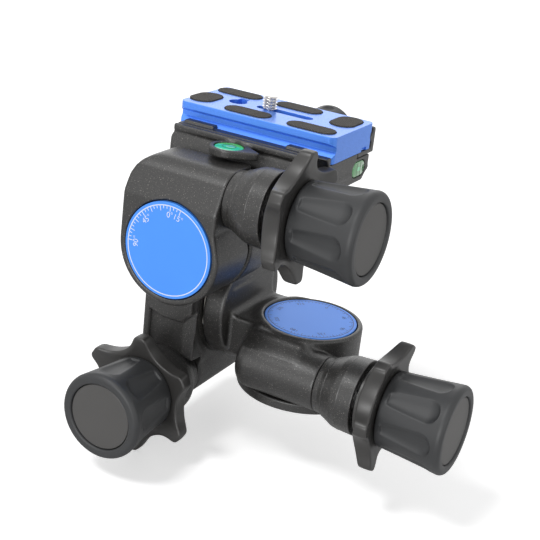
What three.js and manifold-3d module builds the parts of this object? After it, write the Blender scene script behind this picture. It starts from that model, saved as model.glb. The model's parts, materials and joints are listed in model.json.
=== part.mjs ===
// Geared tripod head: pan, tilt and roll stages, each driven by a worm and a wheel, under a plate clamp.
// Millimetres, +Z up. The origin is the middle of the foot's underside, on the pan axis.
// The pan and roll knobs point to +X, the tilt knob points to -Y.
import * as THREE from 'three';
import { mergeVertices } from 'three/addons/utils/BufferGeometryUtils.js';
import Module from 'manifold-3d';

const wasm = await Module();
wasm.setup();

// Fits
const slip = 0.2; // a journal or a flat face in its running seat
const seat = 0.3; // a piece against the one that carries it
const overrun = 1; // how far a cut runs past the face it opens

// Worm and wheel
const toothModule = 1;
const wormRadius = 6; // at the pitch line
const addendum = 0.8;
const dedendum = 1.1;
const flankPlay = 0.12; // taken off each flank
const flankAngle = THREE.MathUtils.degToRad(20);
const wheelWidth = 8;
const ridgeRoot = 0.3; // how deep the ridge is rooted in the worm's core
const runout = 2.8; // bare length at each end of the thread

// Eccentric sleeve around each worm
const throwOff = 1.9; // distance between the worm's axis and the sleeve's
const sleeveRadius = 10.2;
const sleeveBore = 7.2;
const thrustBore = 4.2; // the sleeve's inner bearing
const thrustLength = 5.2;
const windowFrom = THREE.MathUtils.degToRad(-46);
const windowTo = THREE.MathUtils.degToRad(88);
const windowPlay = 0.8;

// Tube of the casting, with the collar that closes it
const boreRadius = 10.4;
const tubeRadius = 12.2;
const tubeEnd = 21;
const domeEdge = 3.5;
const domeShare = 1 - Math.SQRT1_2; // a quarter round in two facets
const collarEnd = 40.5;
const collarBore = 10.6;
const collarWaist = 12.9;
const collarShoulder = 16.3;
const collarMouth = 16.5;
const collarLip = 0.5;
const springPocket = 13.4;
const collarLand = 4.2;
const waistShare = 0.14; // stations along the collar
const shoulderShare = 0.48;
const creaseShare = 0.62;

// Torsion spring in the collar
const wireRadius = 0.6;
const coilRadius = 12.2;
const coilTurns = 4;
const coilRise = 2.6;

// Release ring
const ringGap = 1.3;
const ringWidth = 9.5;
const ringTip = 27.5;
const ringValley = 20.5;
const ringLobes = 6;
const ringLean = 2;
const ringEdge = 1;
const ringBore = 10.5;
const lobeSharpness = 1.25;
const pointsPerLobe = 5;

// Knob
const gripLength = 29.4;
const gripWaist = 16.5;
const gripMouth = 19.4;
const gripEdge = 1.4;
const fluteCount = 8;
const fluteDepth = 1.7;
const pointsPerFlute = 4;
const gripCurve = 1.2;
const scoopCurve = 0.6;
const capRadius = 14.5;
const capThickness = 3.4;
const capInset = 0.7;
const capEdge = 0.4;
const shaftRadius = 6.9;
const stemRadius = 5;

// Wheel seat in each casting
const wellPlay = 1.2; // around the pan and roll wheels
const bearingRadius = 12.5;
const journalRadius = 12.3;
const spigotRadius = 9.8;
const wheelBore = 10.1;
const nutRadius = 14;
const nutNotch = 2.4;
const washerBore = 13;
const dialRadius = 21;
const dialThickness = 1.8;
const dialBoss = 8;
const dialRecess = 2.2;
const axleRadius = 8;
const axleDepth = 8;
const wormDepth = 17; // of the pan and roll worms behind the dial's face
const threadHalf = 8;
const floorDepth = 26;
const domeReach = 23.5;
const nutHeight = 5.7;

// Foot
const footRadius = 30;
const footHeight = 4.5;
const footEdge = 0.8;
const bushRadius = 8;
const bushHeight = 12;
const bushBore = 4; // 3/8 inch thread, minor radius

// Pan casting
const panFace = 32; // height of the pan dial
const panRim = 23.4;
const rimEdge = 1.3;
const panSeam = 1.5; // foot to casting, filled by the washer
const panWasher = 16.8;
const footRelief = 0.4; // between the foot and what passes over it
const earRadius = 25.4;
const earFace = -40.3;
const earThickness = 10.3;
const webEnd = -12;
const webHalf = 18.5;
const webFillet = 8;
const wedgeFrom = -20;
const wedgeTo = 6;
const wedgeInner = 14;
const wedgeOuter = 30.5;
const wedgeKnee = -16.4;
const wedgeRise = 10.2;
const footClearance = 80; // takes in all that reaches past the foot

// Tilt casting
const tiltY = -1;
const tiltZ = 31;
const tiltFace = -66.5; // the face of the cover
const tiltRim = 30.6;
const tiltWell = 28.2;
const coverRadius = 29.3;
const coverThickness = 2.1;
const tiltSeam = 0.7;
const columnRear = 0;
const ribProud = 0.6;
const ribInset = 3.5;
const ribFoot = 15;
const ribTop = 40;
const ribTaper = 4;
const ribNose = 1;
const throatIn = [9, 4.5]; // from the drum's front, and above the collar's way
const throatUp = [1.1, 2.3];
const saddleInset = 1.8;
const saddleTop = 15.7;
const webRoom = 20.5;
const tiltReach = 24.2;
const tiltDepth = 14;
const tiltFloor = 25.5;
const tiltWasher = 24;
const tiltNut = 4.7;

// Roll casting
const rollX = -41.5;
const rollZ = 68.7;
const rollFace = -57.4;
const rollRim = 23.3;
const rollSeam = 0.8;
const rollWasher = 21;
const hubRadius = 24.3;
const hubRear = -8;
const earRelief = 0.8;
const blockCorner = 10;
const platformThickness = 3;
const platformLeft = -60;
const platformRight = -5;
const platformRear = 0;
const platformTop = 98;
const armDrop = 14;
const armSwing = 2;
const indexHalf = 0.4;
const indexDepth = 0.6;
const faceShoulder = 11.6; // above the dial's middle, where the side turns in
const frontRoundTo = THREE.MathUtils.degToRad(144);
const frontRoundFoot = 4;

// Clamp
const clampShort = 0.4; // how much the plate stands past the clamp's right end
const clampPast = 0.1; // how far the clamp's rear stands past the plate
const railOver = 0.7; // above the widest line of the plate's flare
const railWidth = 7.5;
const clampFlare = 3;
const clampShoulder = 4.2;
const railLedge = 2;
const railGroove = 1;
const lipRise = 1.2;
const lipDepth = 3.2;
const lipLength = 14.5;
const shortLipLength = 9;
const shortLipInset = 11;
const stepDepth = 2.6; // the jaw's tongue runs in this step
const stepWidth = 12.9;
const clampNose = 9;
const endBlockWidth = 11.7;
const endBlockDrop = 3.8;
const endBlockFront = -13;
const endChamfer = 5;
const ringSweep = 0.8;

// Levels
const bossX = -34;
const bossY = -25.5;
const bossRadius = 9;
const bossTop = 108.6;
const bossTail = 15;
const bossTailRadius = 1.5;
const vialRadius = 7.1;
const vialHeight = 1.9;
const endVialY = 14.6;
const endVialZ = 100.4;
const endVialHalf = 7;
const endVialRadius = 3.4;
const endVialDepth = 2.4;

// Jaw with its knob
const jawWall = 3.4;
const jawTop = 117;
const jawEdge = 1.4;
const jawHook = 2.3;
const skirtHalf = 14;
const skirtBottom = 97;
const screwX = -24;
const screwZ = 104.4;
const screwRadius = 2.5;
const screwBore = 2.8;
const screwFront = -8;
const clampGripLength = 20.5;
const clampGripWaist = 10.6;
const clampGripMouth = 12;
const clampCapRadius = 8.6;
const clampCapThickness = 2;
const clampCapInset = 0.5;
const clampFluteDepth = 1;
const springX = -50;
const springZ = 105.7;
const springRadius = 1.5;
const springWire = 0.3;
const springTurns = 4;
const springLength = 11;
const springHole = 2.1;

// Camera plate
const plateX = -29.8;
const plateY = 3;
const plateTop = 119.5;
const plateLength = 74.5;
const flareHalf = 19;
const lipProud = 0.5; // past the flare
const plateThickness = 11.3;
const plateLip = 4;
const grooveDepth = 2.5;
const flareDepth = 2.5; // its slope is even
const plateCorner = 2.5;
const padRecess = 1;
const padProud = 0.4;
const padWidth = 9;
const padPlay = 0.2;
const slotWidth = 5;
const slotFrom = -10;
const slotTo = 17;
const slotRoomWidth = 12;
const slotRoomPast = 3.4;
const slotCeiling = 6;
const keyX = -18.3;
const keyY = 1;
const keyRadius = 2.9;
const keyTail = 5;
const keyTailRadius = 1.7;
const stopInset = 4;
const stopY = 4;
const stopRadius = 1.5;
const stopLength = 4;
const notchFrom = 9;
const notchTo = 14;
const notchDepth = 1.6;

// Camera screw, 1/4 inch
const threadRadius = 3.17;
const threadLength = 5.8;
const neckRadius = 2.2;
const threadEdge = 0.8;
const headRadius = 5.2;
const headThickness = 2.4;
const screwAt = -4; // along the plate, from its middle
const clipRadius = 4.6;
const clipThickness = 0.9;
const clipMouth = 3.6;

// Facets
const castSteps = 28;
const roundSteps = 20;
const boreSteps = 14;
const pinSteps = 8;
const threadSteps = 8;
const coilSteps = 7;
const coilSides = 3;
const arcSteps = 3;

const halfTurn = Math.PI;
const turn = 2 * Math.PI;
const quarterTurn = Math.PI / 2;
const pitch = Math.PI * toothModule;
const weld = 1e-4;

const way = {
  x: new THREE.Vector3(1, 0, 0),
  y: new THREE.Vector3(0, 1, 0),
  z: new THREE.Vector3(0, 0, 1),
};

// Each stage has its own frame: z leaves the dial's face, x runs along the worm to the knob.
// side tells whether the worm lies above (+1) or below (-1) the wheel's axis along y.
const stages = {
  pan: {
    origin: [0, 0, panFace],
    axes: [way.x, way.y, way.z],
    side: -1,
    teeth: 33,
    depth: wormDepth,
    floorBack: -floorDepth,
    seam: panSeam,
    dome: -domeReach,
    washerRadius: panWasher,
    nutHeight,
  },
  tilt: {
    origin: [tiltFace, tiltY, tiltZ],
    axes: [way.y.clone().negate(), way.z, way.x.clone().negate()],
    side: -1,
    teeth: 54,
    depth: tiltDepth,
    floorBack: -tiltFloor,
    seam: tiltSeam,
    dome: -tiltReach,
    washerRadius: tiltWasher,
    nutHeight: tiltNut,
  },
  roll: {
    origin: [rollX, rollFace, rollZ],
    axes: [way.x, way.z, way.y.clone().negate()],
    side: 1,
    teeth: 33,
    depth: wormDepth,
    floorBack: -floorDepth,
    seam: rollSeam,
    dome: -domeReach,
    washerRadius: rollWasher,
    nutHeight,
  },
};

for (const stage of Object.values(stages)) {
  stage.wheelRadius = (stage.teeth * toothModule) / 2;
  stage.wormY = stage.side * (wormRadius + stage.wheelRadius);
  stage.wormZ = -stage.depth;
  stage.tubeY = stage.wormY + stage.side * throwOff * Math.SQRT1_2;
  stage.tubeZ = stage.wormZ + throwOff * Math.SQRT1_2;
  stage.wheelBack = -stage.depth - wheelWidth / 2;
  stage.wheelFront = stage.wheelBack + wheelWidth;
  stage.floorFront = stage.wheelBack - seat;
  stage.seatFace = stage.floorBack - stage.seam;
  stage.axleTop = stage.wheelFront + seat + stage.nutHeight + seat;
  stage.sleeveStart = -threadHalf - runout - thrustLength;
  stage.matrix = new THREE.Matrix4().makeBasis(...stage.axes).setPosition(...stage.origin);
}

const ringStart = collarEnd + ringGap;
const ringEnd = ringStart + ringWidth;
const gripStart = ringEnd + seat;
const gripEnd = gripStart + gripLength;
const capFace = gripEnd - capInset;
const capBack = capFace - capThickness;
const plateBottom = plateTop - plateThickness;
const clampBottom = platformTop + seat;
const plateHalf = flareHalf + lipProud;
const clampRear = plateY + plateHalf + clampPast;
const clampRailOuter = plateY - plateHalf - railWidth;
const stepFront = clampRear - stepWidth;
const jawRear = clampRear + jawWall;
const clampLeft = plateX - plateLength / 2;
const clampRight = plateX + plateLength / 2 - clampShort;
const jawFront = clampRear + seat;
const grooveZ = plateTop - plateLip - grooveDepth;
const flareZ = grooveZ - flareDepth;
const clampFloor = plateBottom - seat;
const clampRailTop = flareZ + railOver;
const tongueBottom = clampFloor - stepDepth + seat;
const knobSeat = jawRear + seat;
const slotCeilingZ = plateTop - slotCeiling;

// Solids of revolution: the profile's points are [radius, station along the axis].
function turned(profile, axis, steps = roundSteps) {
  const points = profile.map(([radius, station]) => new THREE.Vector2(radius, station));
  const geometry = new THREE.LatheGeometry(points, steps);
  if (axis === 'z') geometry.rotateX(quarterTurn);
  if (axis === 'x') geometry.rotateZ(-quarterTurn);
  return geometry;
}

function rod(radius, axis, from, to, steps = roundSteps) {
  return turned([[0, from], [radius, from], [radius, to], [0, to]], axis, steps);
}

function pipe(inner, outer, axis, from, to, steps = roundSteps) {
  return turned([[inner, from], [outer, from], [outer, to], [inner, to], [inner, from]], axis, steps);
}

function block(x0, x1, y0, y1, z0, z1) {
  const geometry = new THREE.BoxGeometry(x1 - x0, y1 - y0, z1 - z0);
  return geometry.translate((x0 + x1) / 2, (y0 + y1) / 2, (z0 + z1) / 2);
}

function outline(points) {
  return new THREE.Shape(points.map(([across, up]) => new THREE.Vector2(across, up)));
}

// An outline pushed along an axis. It lies in (y, z), (x, z) or (x, y) for the axes x, y and z.
function prism(shape, axis, from, to) {
  const settings = { depth: to - from, bevelEnabled: false, curveSegments: arcSteps };
  const geometry = new THREE.ExtrudeGeometry(shape, settings);
  geometry.translate(0, 0, from);
  if (axis === 'x') geometry.applyMatrix4(new THREE.Matrix4().makeBasis(way.y, way.z, way.x));
  if (axis === 'y') geometry.applyMatrix4(new THREE.Matrix4().makeBasis(way.x, way.z, way.y));
  return geometry;
}

// A skin over rings of points. It ends in a fan on the first and last ring, or runs round to the first ring.
function loft(rings, closed = false) {
  const count = rings[0].length;
  const places = rings.flat().flatMap((point) => point.toArray());
  const index = [];
  const bands = closed ? rings.length : rings.length - 1;
  for (let row = 0; row < bands; row++) {
    for (let k = 0; k < count; k++) {
      const next = (k + 1) % count;
      const above = ((row + 1) % rings.length) * count;
      index.push(row * count + k, row * count + next, above + next);
      index.push(row * count + k, above + next, above + k);
    }
  }
  const fans = closed ? [] : [0, rings.length - 1];
  for (const row of fans) {
    const middle = rings[row].reduce((sum, point) => sum.add(point), new THREE.Vector3()).divideScalar(count);
    const centre = places.length / 3;
    places.push(...middle.toArray());
    for (let k = 0; k < count; k++) {
      const edge = [row * count + k, row * count + ((k + 1) % count)];
      if (row === 0) edge.reverse();
      index.push(centre, ...edge);
    }
  }
  const geometry = new THREE.BufferGeometry();
  geometry.setAttribute('position', new THREE.Float32BufferAttribute(places, 3));
  geometry.setIndex(index);
  return geometry;
}

// A closed surface as a solid, with its faces turned out.
function toSolid(geometry) {
  const bare = new THREE.BufferGeometry();
  bare.setAttribute('position', geometry.getAttribute('position'));
  if (geometry.index) bare.setIndex(geometry.index);
  const merged = mergeVertices(bare, weld);
  const vertProperties = new Float32Array(merged.getAttribute('position').array);
  const faces = [];
  const all = merged.index.array;
  for (let i = 0; i < all.length; i += 3) {
    const [a, b, c] = all.slice(i, i + 3);
    if (a !== b && b !== c && c !== a) faces.push([a, b, c]);
  }
  const build = (list) =>
    new wasm.Manifold(new wasm.Mesh({ numProp: 3, vertProperties, triVerts: new Uint32Array(list.flat()) }));
  const solid = build(faces);
  return solid.volume() > 0 ? solid : build(faces.map(([a, b, c]) => [a, c, b]));
}

const asSolid = (piece) => (piece.isBufferGeometry ? toSolid(piece) : piece);
const join = (...pieces) => pieces.map(asSolid).reduce((sum, piece) => sum.add(piece));
const cut = (body, ...tools) => tools.map(asSolid).reduce((rest, tool) => rest.subtract(tool), asSolid(body));
const common = (...pieces) => pieces.map(asSolid).reduce((rest, piece) => rest.intersect(piece));

function toGeometry(solid) {
  const { vertProperties, triVerts } = solid.getMesh();
  const geometry = new THREE.BufferGeometry();
  geometry.setAttribute('position', new THREE.Float32BufferAttribute(vertProperties, 3));
  geometry.setIndex(new THREE.BufferAttribute(triVerts, 1));
  geometry.computeVertexNormals();
  return geometry;
}

const finish = (color, roughness, metalness) => new THREE.MeshStandardMaterial({ color, roughness, metalness });
const materials = {
  casting: finish(0x3a3937, 0.6, 0.3),
  ring: finish(0x3c3b39, 0.5, 0.2),
  rubber: finish(0x45474a, 0.8, 0),
  cap: finish(0x5f5d5b, 0.5, 0.6),
  blue: finish(0x4a96f5, 0.35, 0.7),
  steel: finish(0xb8b8b4, 0.3, 1),
  bronze: finish(0xb08a4a, 0.4, 1),
  pad: finish(0x3a3632, 0.9, 0),
  polymer: finish(0xd8d6cf, 0.6, 0),
  vial: finish(0x35c95a, 0.15, 0),
};

function piece(name, body, material) {
  const mesh = new THREE.Mesh(toGeometry(asSolid(body)), material);
  mesh.name = name;
  return mesh;
}

// Places a shape made in a stage's frame into the head's frame.
const inHead = (stage, geometry) => geometry.applyMatrix4(stage.matrix);
const aboutWorm = (stage, geometry) => geometry.translate(0, stage.wormY, stage.wormZ);
const aboutTube = (stage, geometry) => geometry.translate(0, stage.tubeY, stage.tubeZ);

function wormShaft(stage) {
  const root = wormRadius - dedendum;
  const tip = wormRadius + addendum;
  const inner = root - ridgeRoot;
  const pitchHalf = pitch / 4 - flankPlay;
  const rootHalf = pitchHalf + (wormRadius - inner) * Math.tan(flankAngle);
  const tipHalf = pitchHalf - addendum * Math.tan(flankAngle);
  const start = -threadHalf - runout;
  const steps = Math.floor((threadHalf / pitch) * threadSteps) - 1;
  const rings = [];
  for (let k = -steps; k <= steps; k++) {
    const angle = (k / threadSteps) * turn;
    const along = pitch * (k / threadSteps + 1 / 2);
    const toward = new THREE.Vector3(0, -stage.side * Math.cos(angle), -stage.side * Math.sin(angle));
    const section = [[-rootHalf, inner], [-tipHalf, tip], [tipHalf, tip], [rootHalf, inner]];
    rings.push(section.map(([shift, radius]) => toward.clone().multiplyScalar(radius).setX(along + shift)));
  }
  const profile = [
    [0, stage.sleeveStart + seat],
    [thrustBore - slip, stage.sleeveStart + seat],
    [thrustBore - slip, start],
    [root, start],
    [root, threadHalf + runout],
    [shaftRadius, threadHalf + runout + slip],
    [shaftRadius, collarEnd],
    [stemRadius, collarEnd],
    [stemRadius, capBack - seat],
    [0, capBack - seat],
  ];
  return join(aboutWorm(stage, turned(profile, 'x', threadSteps)), aboutWorm(stage, loft(rings)));
}

function wormWheel(stage) {
  const pitchHalf = pitch / 4 - flankPlay;
  const tip = stage.wheelRadius + addendum;
  const root = stage.wheelRadius - dedendum;
  const tipHalf = (pitchHalf - addendum * Math.tan(flankAngle)) / tip;
  const rootHalf = (pitchHalf + dedendum * Math.tan(flankAngle)) / root;
  const lead = toothModule / 2 / wormRadius; // slope of the worm's thread
  const rings = [stage.wheelBack, stage.wheelFront].map((z) => {
    const twist = (stage.side * quarterTurn) + ((z - stage.wormZ) * lead) / stage.wheelRadius;
    const ring = [];
    for (let k = 0; k < stage.teeth; k++) {
      const middle = twist + (k / stage.teeth) * turn;
      const tooth = [[-rootHalf, root], [-tipHalf, tip], [tipHalf, tip], [rootHalf, root]];
      for (const [angle, radius] of tooth) {
        const at = middle + angle;
        ring.push(new THREE.Vector3(radius * Math.cos(at), radius * Math.sin(at), z));
      }
    }
    return ring;
  });
  return cut(loft(rings), rod(wheelBore, 'z', stage.wheelBack - overrun, stage.wheelFront + overrun, boreSteps));
}

// The sleeve turns in the casting's tube. Its bore is off centre, so that a part turn lifts the worm away.
function sleeve(stage) {
  const end = ringEnd;
  const shell = aboutTube(stage, rod(sleeveRadius, 'x', stage.sleeveStart, end));
  const bore = aboutWorm(stage, rod(sleeveBore, 'x', -threadHalf - runout, end + overrun, boreSteps));
  const thrust = aboutWorm(stage, rod(thrustBore, 'x', stage.sleeveStart - overrun, end, boreSteps));
  const wheelTip = stage.wheelRadius + addendum;
  const sink = Math.abs(stage.tubeY) - sleeveRadius;
  const half = Math.sqrt(wheelTip ** 2 - sink ** 2) + windowPlay;
  const reach = sleeveRadius + 2 * overrun;
  const wedge = [[0, 0]];
  for (let k = 0; k <= arcSteps; k++) {
    const angle = windowFrom + (k / arcSteps) * (windowTo - windowFrom);
    wedge.push([-stage.side * reach * Math.cos(angle), reach * Math.sin(angle)]);
  }
  const opening = aboutTube(stage, prism(outline(wedge), 'x', -half, half));
  return cut(shell, bore, thrust, opening);
}

function collar(stage) {
  const start = tubeEnd + seat;
  const flare = collarEnd - start;
  const profile = [
    [collarBore, start],
    [tubeRadius, start],
    [collarWaist, start + flare * waistShare],
    [collarShoulder - collarLip, start + flare * shoulderShare],
    [collarShoulder, start + flare * creaseShare],
    [collarMouth, collarEnd - collarLip],
    [collarMouth - collarLip, collarEnd],
    [springPocket, collarEnd],
    [springPocket, start + collarLand],
    [collarBore, start + collarLand],
    [collarBore, start],
  ];
  return aboutTube(stage, turned(profile, 'x', roundSteps));
}

// A round wire wound along x.
function coil(radius, wire, turns, from, rise) {
  const rings = [];
  const steps = turns * coilSteps;
  for (let k = 0; k <= steps; k++) {
    const angle = (k / coilSteps) * turn;
    const along = from + (k / coilSteps) * rise;
    const out = new THREE.Vector3(0, Math.cos(angle), Math.sin(angle));
    const ring = [];
    for (let side = 0; side < coilSides; side++) {
      const around = (side / coilSides) * turn;
      const point = out.clone().multiplyScalar(radius + wire * Math.cos(around));
      ring.push(point.setX(along + wire * Math.sin(around)));
    }
    rings.push(ring);
  }
  return loft(rings);
}

function torsionSpring(stage) {
  const start = tubeEnd + seat + collarLand + wireRadius + seat;
  return aboutTube(stage, coil(coilRadius, wireRadius, coilTurns, start, coilRise));
}

function releaseRing(stage) {
  const count = ringLobes * pointsPerLobe;
  const around = (along, radiusAt) => {
    const ring = [];
    for (let k = 0; k < count; k++) {
      const angle = (k / count) * turn;
      const rise = ((1 + Math.cos(angle * ringLobes)) / 2) ** lobeSharpness;
      const [radius, lean] = radiusAt(rise);
      ring.push(new THREE.Vector3(along + lean, radius * Math.cos(angle), radius * Math.sin(angle)));
    }
    return ring;
  };
  const lobe = (inset) => (rise) => [ringValley + (ringTip - ringValley) * rise - inset, ringLean * rise];
  const inner = () => [ringBore, 0];
  const bands = [
    around(ringStart, inner),
    around(ringStart, lobe(ringEdge)),
    around(ringStart + ringEdge, lobe(0)),
    around(ringEnd - ringEdge, lobe(0)),
    around(ringEnd, lobe(ringEdge)),
    around(ringEnd, () => [gripWaist + seat, 0]),
    around(ringEnd, inner),
  ];
  return aboutTube(stage, loft(bands, true));
}

// A knob's rubber grip along x: a taper with scooped flutes, hollowed for the cap.
function grip(from, length, waist, mouth, depth, capR, capDepth, stem) {
  const count = fluteCount * pointsPerFlute;
  const end = from + length;
  const stationShares = [0, 0.15, 0.21, 0.5, 0.95, 1];
  const fadeShares = [0, 0, 1, 0.85, 0, 0];
  const edgeShares = [0.3, 0, 0, 0, 0, 1];
  const rings = stationShares.map((share, row) => {
    const radius = waist + (mouth - waist) * share ** gripCurve - gripEdge * edgeShares[row];
    const ring = [];
    for (let k = 0; k < count; k++) {
      const angle = (k / count) * turn;
      const scoop = Math.max(0, Math.cos(angle * fluteCount)) ** scoopCurve;
      const r = radius - depth * fadeShares[row] * scoop;
      ring.push(new THREE.Vector3(from + length * share, r * Math.cos(angle), r * Math.sin(angle)));
    }
    return ring;
  });
  const bore = rod(stem + seat, 'x', from - overrun, end + overrun, pinSteps);
  const recess = rod(capR + seat, 'x', end - capDepth, end + overrun);
  return cut(loft(rings), bore, recess);
}

function knobGrip(stage) {
  const body = toGeometry(
    grip(gripStart, gripLength, gripWaist, gripMouth, fluteDepth, capRadius, capInset + capThickness, stemRadius),
  );
  return aboutWorm(stage, body);
}

function disc(radius, edge, from, to, steps = roundSteps) {
  return turned([[0, from], [radius, from], [radius, to - edge], [radius - edge, to], [0, to]], 'x', steps);
}

function knobCap(stage) {
  return aboutWorm(stage, disc(capRadius, capEdge, capBack, capFace));
}

function washer(stage) {
  return pipe(washerBore, stage.washerRadius, 'z', stage.seatFace + slip, stage.floorBack - slip, boreSteps);
}

function ringNut(stage) {
  const from = stage.wheelFront + seat;
  const to = from + stage.nutHeight;
  const notches = [0, 1].map((k) =>
    block(-nutRadius - overrun, nutRadius + overrun, -nutNotch / 2, nutNotch / 2, to - nutNotch, to + overrun)
      .rotateZ(k * quarterTurn),
  );
  const hole = rod(wheelBore + seat, 'z', from - overrun, to + overrun, boreSteps);
  return cut(rod(nutRadius, 'z', from, to, boreSteps), hole, ...notches);
}

function dial(stage) {
  const profile = [
    [0, stage.axleTop + seat],
    [dialBoss, stage.axleTop + seat],
    [dialBoss, -dialThickness],
    [dialRadius, -dialThickness],
    [dialRadius, -capEdge],
    [dialRadius - capEdge, 0],
    [0, 0],
  ];
  return turned(profile, 'z');
}

function axle(stage) {
  const profile = [
    [0, stage.seatFace - axleDepth + seat],
    [axleRadius, stage.seatFace - axleDepth + seat],
    [axleRadius, stage.seatFace + seat],
    [journalRadius, stage.seatFace + seat],
    [journalRadius, stage.wheelBack - slip],
    [spigotRadius, stage.wheelBack - slip],
    [spigotRadius, stage.axleTop],
    [0, stage.axleTop],
  ];
  return turned(profile, 'z', boreSteps);
}

function axleSocket(stage) {
  return inHead(stage, rod(axleRadius + slip, 'z', stage.seatFace - axleDepth, stage.seatFace + overrun, boreSteps));
}

// Everything that is bored out of a stage's casting, in the head's frame.
function hollows(stage, well, rim, rimDepth) {
  const local = [
    rod(well, 'z', stage.floorFront, overrun, castSteps),
    rod(rim, 'z', -rimDepth, overrun, castSteps),
    rod(bearingRadius, 'z', stage.floorBack - overrun, stage.floorFront + overrun),
    aboutTube(stage, rod(boreRadius, 'x', stage.sleeveStart - seat, tubeEnd + overrun)),
  ];
  return local.map((geometry) => inHead(stage, geometry));
}

function tube(stage) {
  const profile = [
    [0, stage.dome],
    [tubeRadius - domeEdge, stage.dome],
    [tubeRadius - domeEdge * domeShare, stage.dome + domeEdge * domeShare],
    [tubeRadius, stage.dome + domeEdge],
    [tubeRadius, tubeEnd],
    [0, tubeEnd],
  ];
  return aboutTube(stage, turned(profile, 'x'));
}

const wellOf = (stage) => stage.wheelRadius + addendum + wellPlay;

function foot() {
  const stage = stages.pan;
  const top = panFace + stage.axleTop;
  const shoulder = panFace + stage.wheelBack - slip;
  const profile = [
    [0, bushHeight + seat],
    [bushRadius + seat, bushHeight + seat],
    [bushRadius + seat, 0],
    [footRadius - footEdge, 0],
    [footRadius, footEdge],
    [footRadius, footHeight - footEdge],
    [footRadius - footEdge, footHeight],
    [journalRadius, footHeight],
    [journalRadius, shoulder],
    [spigotRadius, shoulder],
    [spigotRadius, top],
    [0, top],
  ];
  return turned(profile, 'z', castSteps);
}

function panHousing() {
  const stage = stages.pan;
  const bottom = panFace + stage.floorBack;
  const drum = turned(
    [[0, bottom], [panRim - rimEdge, bottom], [panRim, bottom + rimEdge], [panRim, panFace - rimEdge],
      [panRim - rimEdge, panFace], [0, panFace]],
    'z', castSteps,
  );
  const ear = disc(earRadius, rimEdge, 0, earThickness, castSteps);
  ear.rotateY(halfTurn).translate(earFace + earThickness, tiltY, tiltZ);
  const earInner = earFace + earThickness;
  const webShape = new THREE.Shape();
  webShape.moveTo(earInner - 2 * overrun, bottom);
  webShape.lineTo(webEnd, bottom);
  webShape.lineTo(webEnd, panFace);
  webShape.lineTo(earInner + webFillet, panFace);
  webShape.absarc(earInner + webFillet, panFace + webFillet, webFillet, -quarterTurn, -halfTurn, true);
  webShape.lineTo(earInner - 2 * overrun, panFace + webFillet);
  const web = prism(webShape, 'y', tiltY - webHalf, tiltY + webHalf);
  const tubeTop = panFace + stage.tubeZ;
  const wedge = prism(
    outline([
      [-wedgeInner, bottom], [-wedgeInner, panFace - rimEdge / 2], [wedgeKnee, panFace - rimEdge],
      [-wedgeOuter, tubeTop + wedgeRise], [-wedgeOuter, tubeTop], [stage.tubeY, bottom],
    ]),
    'x', wedgeFrom, wedgeTo,
  );
  const body = join(drum, ear, web, wedge, tube(stage).applyMatrix4(stage.matrix));
  const overFoot = block(
    -footClearance, footClearance, -footClearance, footClearance, -footClearance, footHeight + footRelief,
  );
  const bores = hollows(stage, wellOf(stage), dialRadius + seat, dialRecess);
  return cut(body, overFoot, ...bores, axleSocket(stages.tilt));
}

function panCollar() {
  const stage = stages.pan;
  const clear = rod(footRadius + footRelief, 'z', -footClearance, -panFace + footHeight + footRelief, castSteps);
  return cut(collar(stage), clear);
}

function tiltHousing() {
  const stage = stages.tilt;
  const inner = tiltFace - stage.floorBack;
  const drum = disc(tiltRim, rimEdge, 0, inner - tiltFace, castSteps).translate(tiltFace, tiltY, tiltZ);
  const front = rollFace - stages.roll.seatFace; // the hub's face behind the roll casting
  const column = block(tiltFace, inner, front, columnRear, tiltZ, rollZ);
  const hub = rod(hubRadius, 'y', front, hubRear, castSteps).translate(rollX, 0, rollZ);
  const drumFront = tiltY - tiltRim;
  const throatZ = tiltZ + stage.wormY + sleeveRadius + seat;
  const rib = prism(
    outline([
      ...throatIn.map((depth, k) => [drumFront + depth, throatZ + throatUp[k]]),
      [drumFront - ribProud + ribNose, ribFoot], [drumFront - ribProud, ribFoot + ribTaper],
      [drumFront - ribProud, ribTop], [front, ribTop + ribTaper], [tiltY, ribTop], [tiltY, throatZ],
    ]),
    'x', tiltFace + ribInset, inner - ribInset,
  );
  const saddleFront = -tubeEnd + tiltY;
  const saddle = block(
    tiltFace + saddleInset, inner - saddleInset, saddleFront, -saddleFront, tiltZ + stage.tubeY, saddleTop,
  );
  const body = join(drum, column, rib, saddle, hub, tube(stage).applyMatrix4(stage.matrix));
  const earBack = earFace + earThickness + stage.seam;
  const overEar = rod(earRadius + earRelief, 'x', inner - stage.seam / 2, earBack, castSteps);
  const overWeb = rod(webRoom, 'x', inner, rollX + hubRadius + overrun);
  const cuts = [overEar, overWeb].map((geometry) => geometry.translate(0, tiltY, tiltZ));
  const bores = hollows(stage, tiltWell, coverRadius + seat, coverThickness + seat);
  return cut(body, ...cuts, ...bores, axleSocket(stages.roll));
}

// Room around the roll stage's collar in what reaches past it.
function collarWay() {
  const stage = stages.roll;
  const room = rod(collarMouth + 2 * seat, 'x', tubeEnd + seat / 2, collarEnd + overrun);
  return inHead(stage, aboutTube(stage, room));
}

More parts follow.
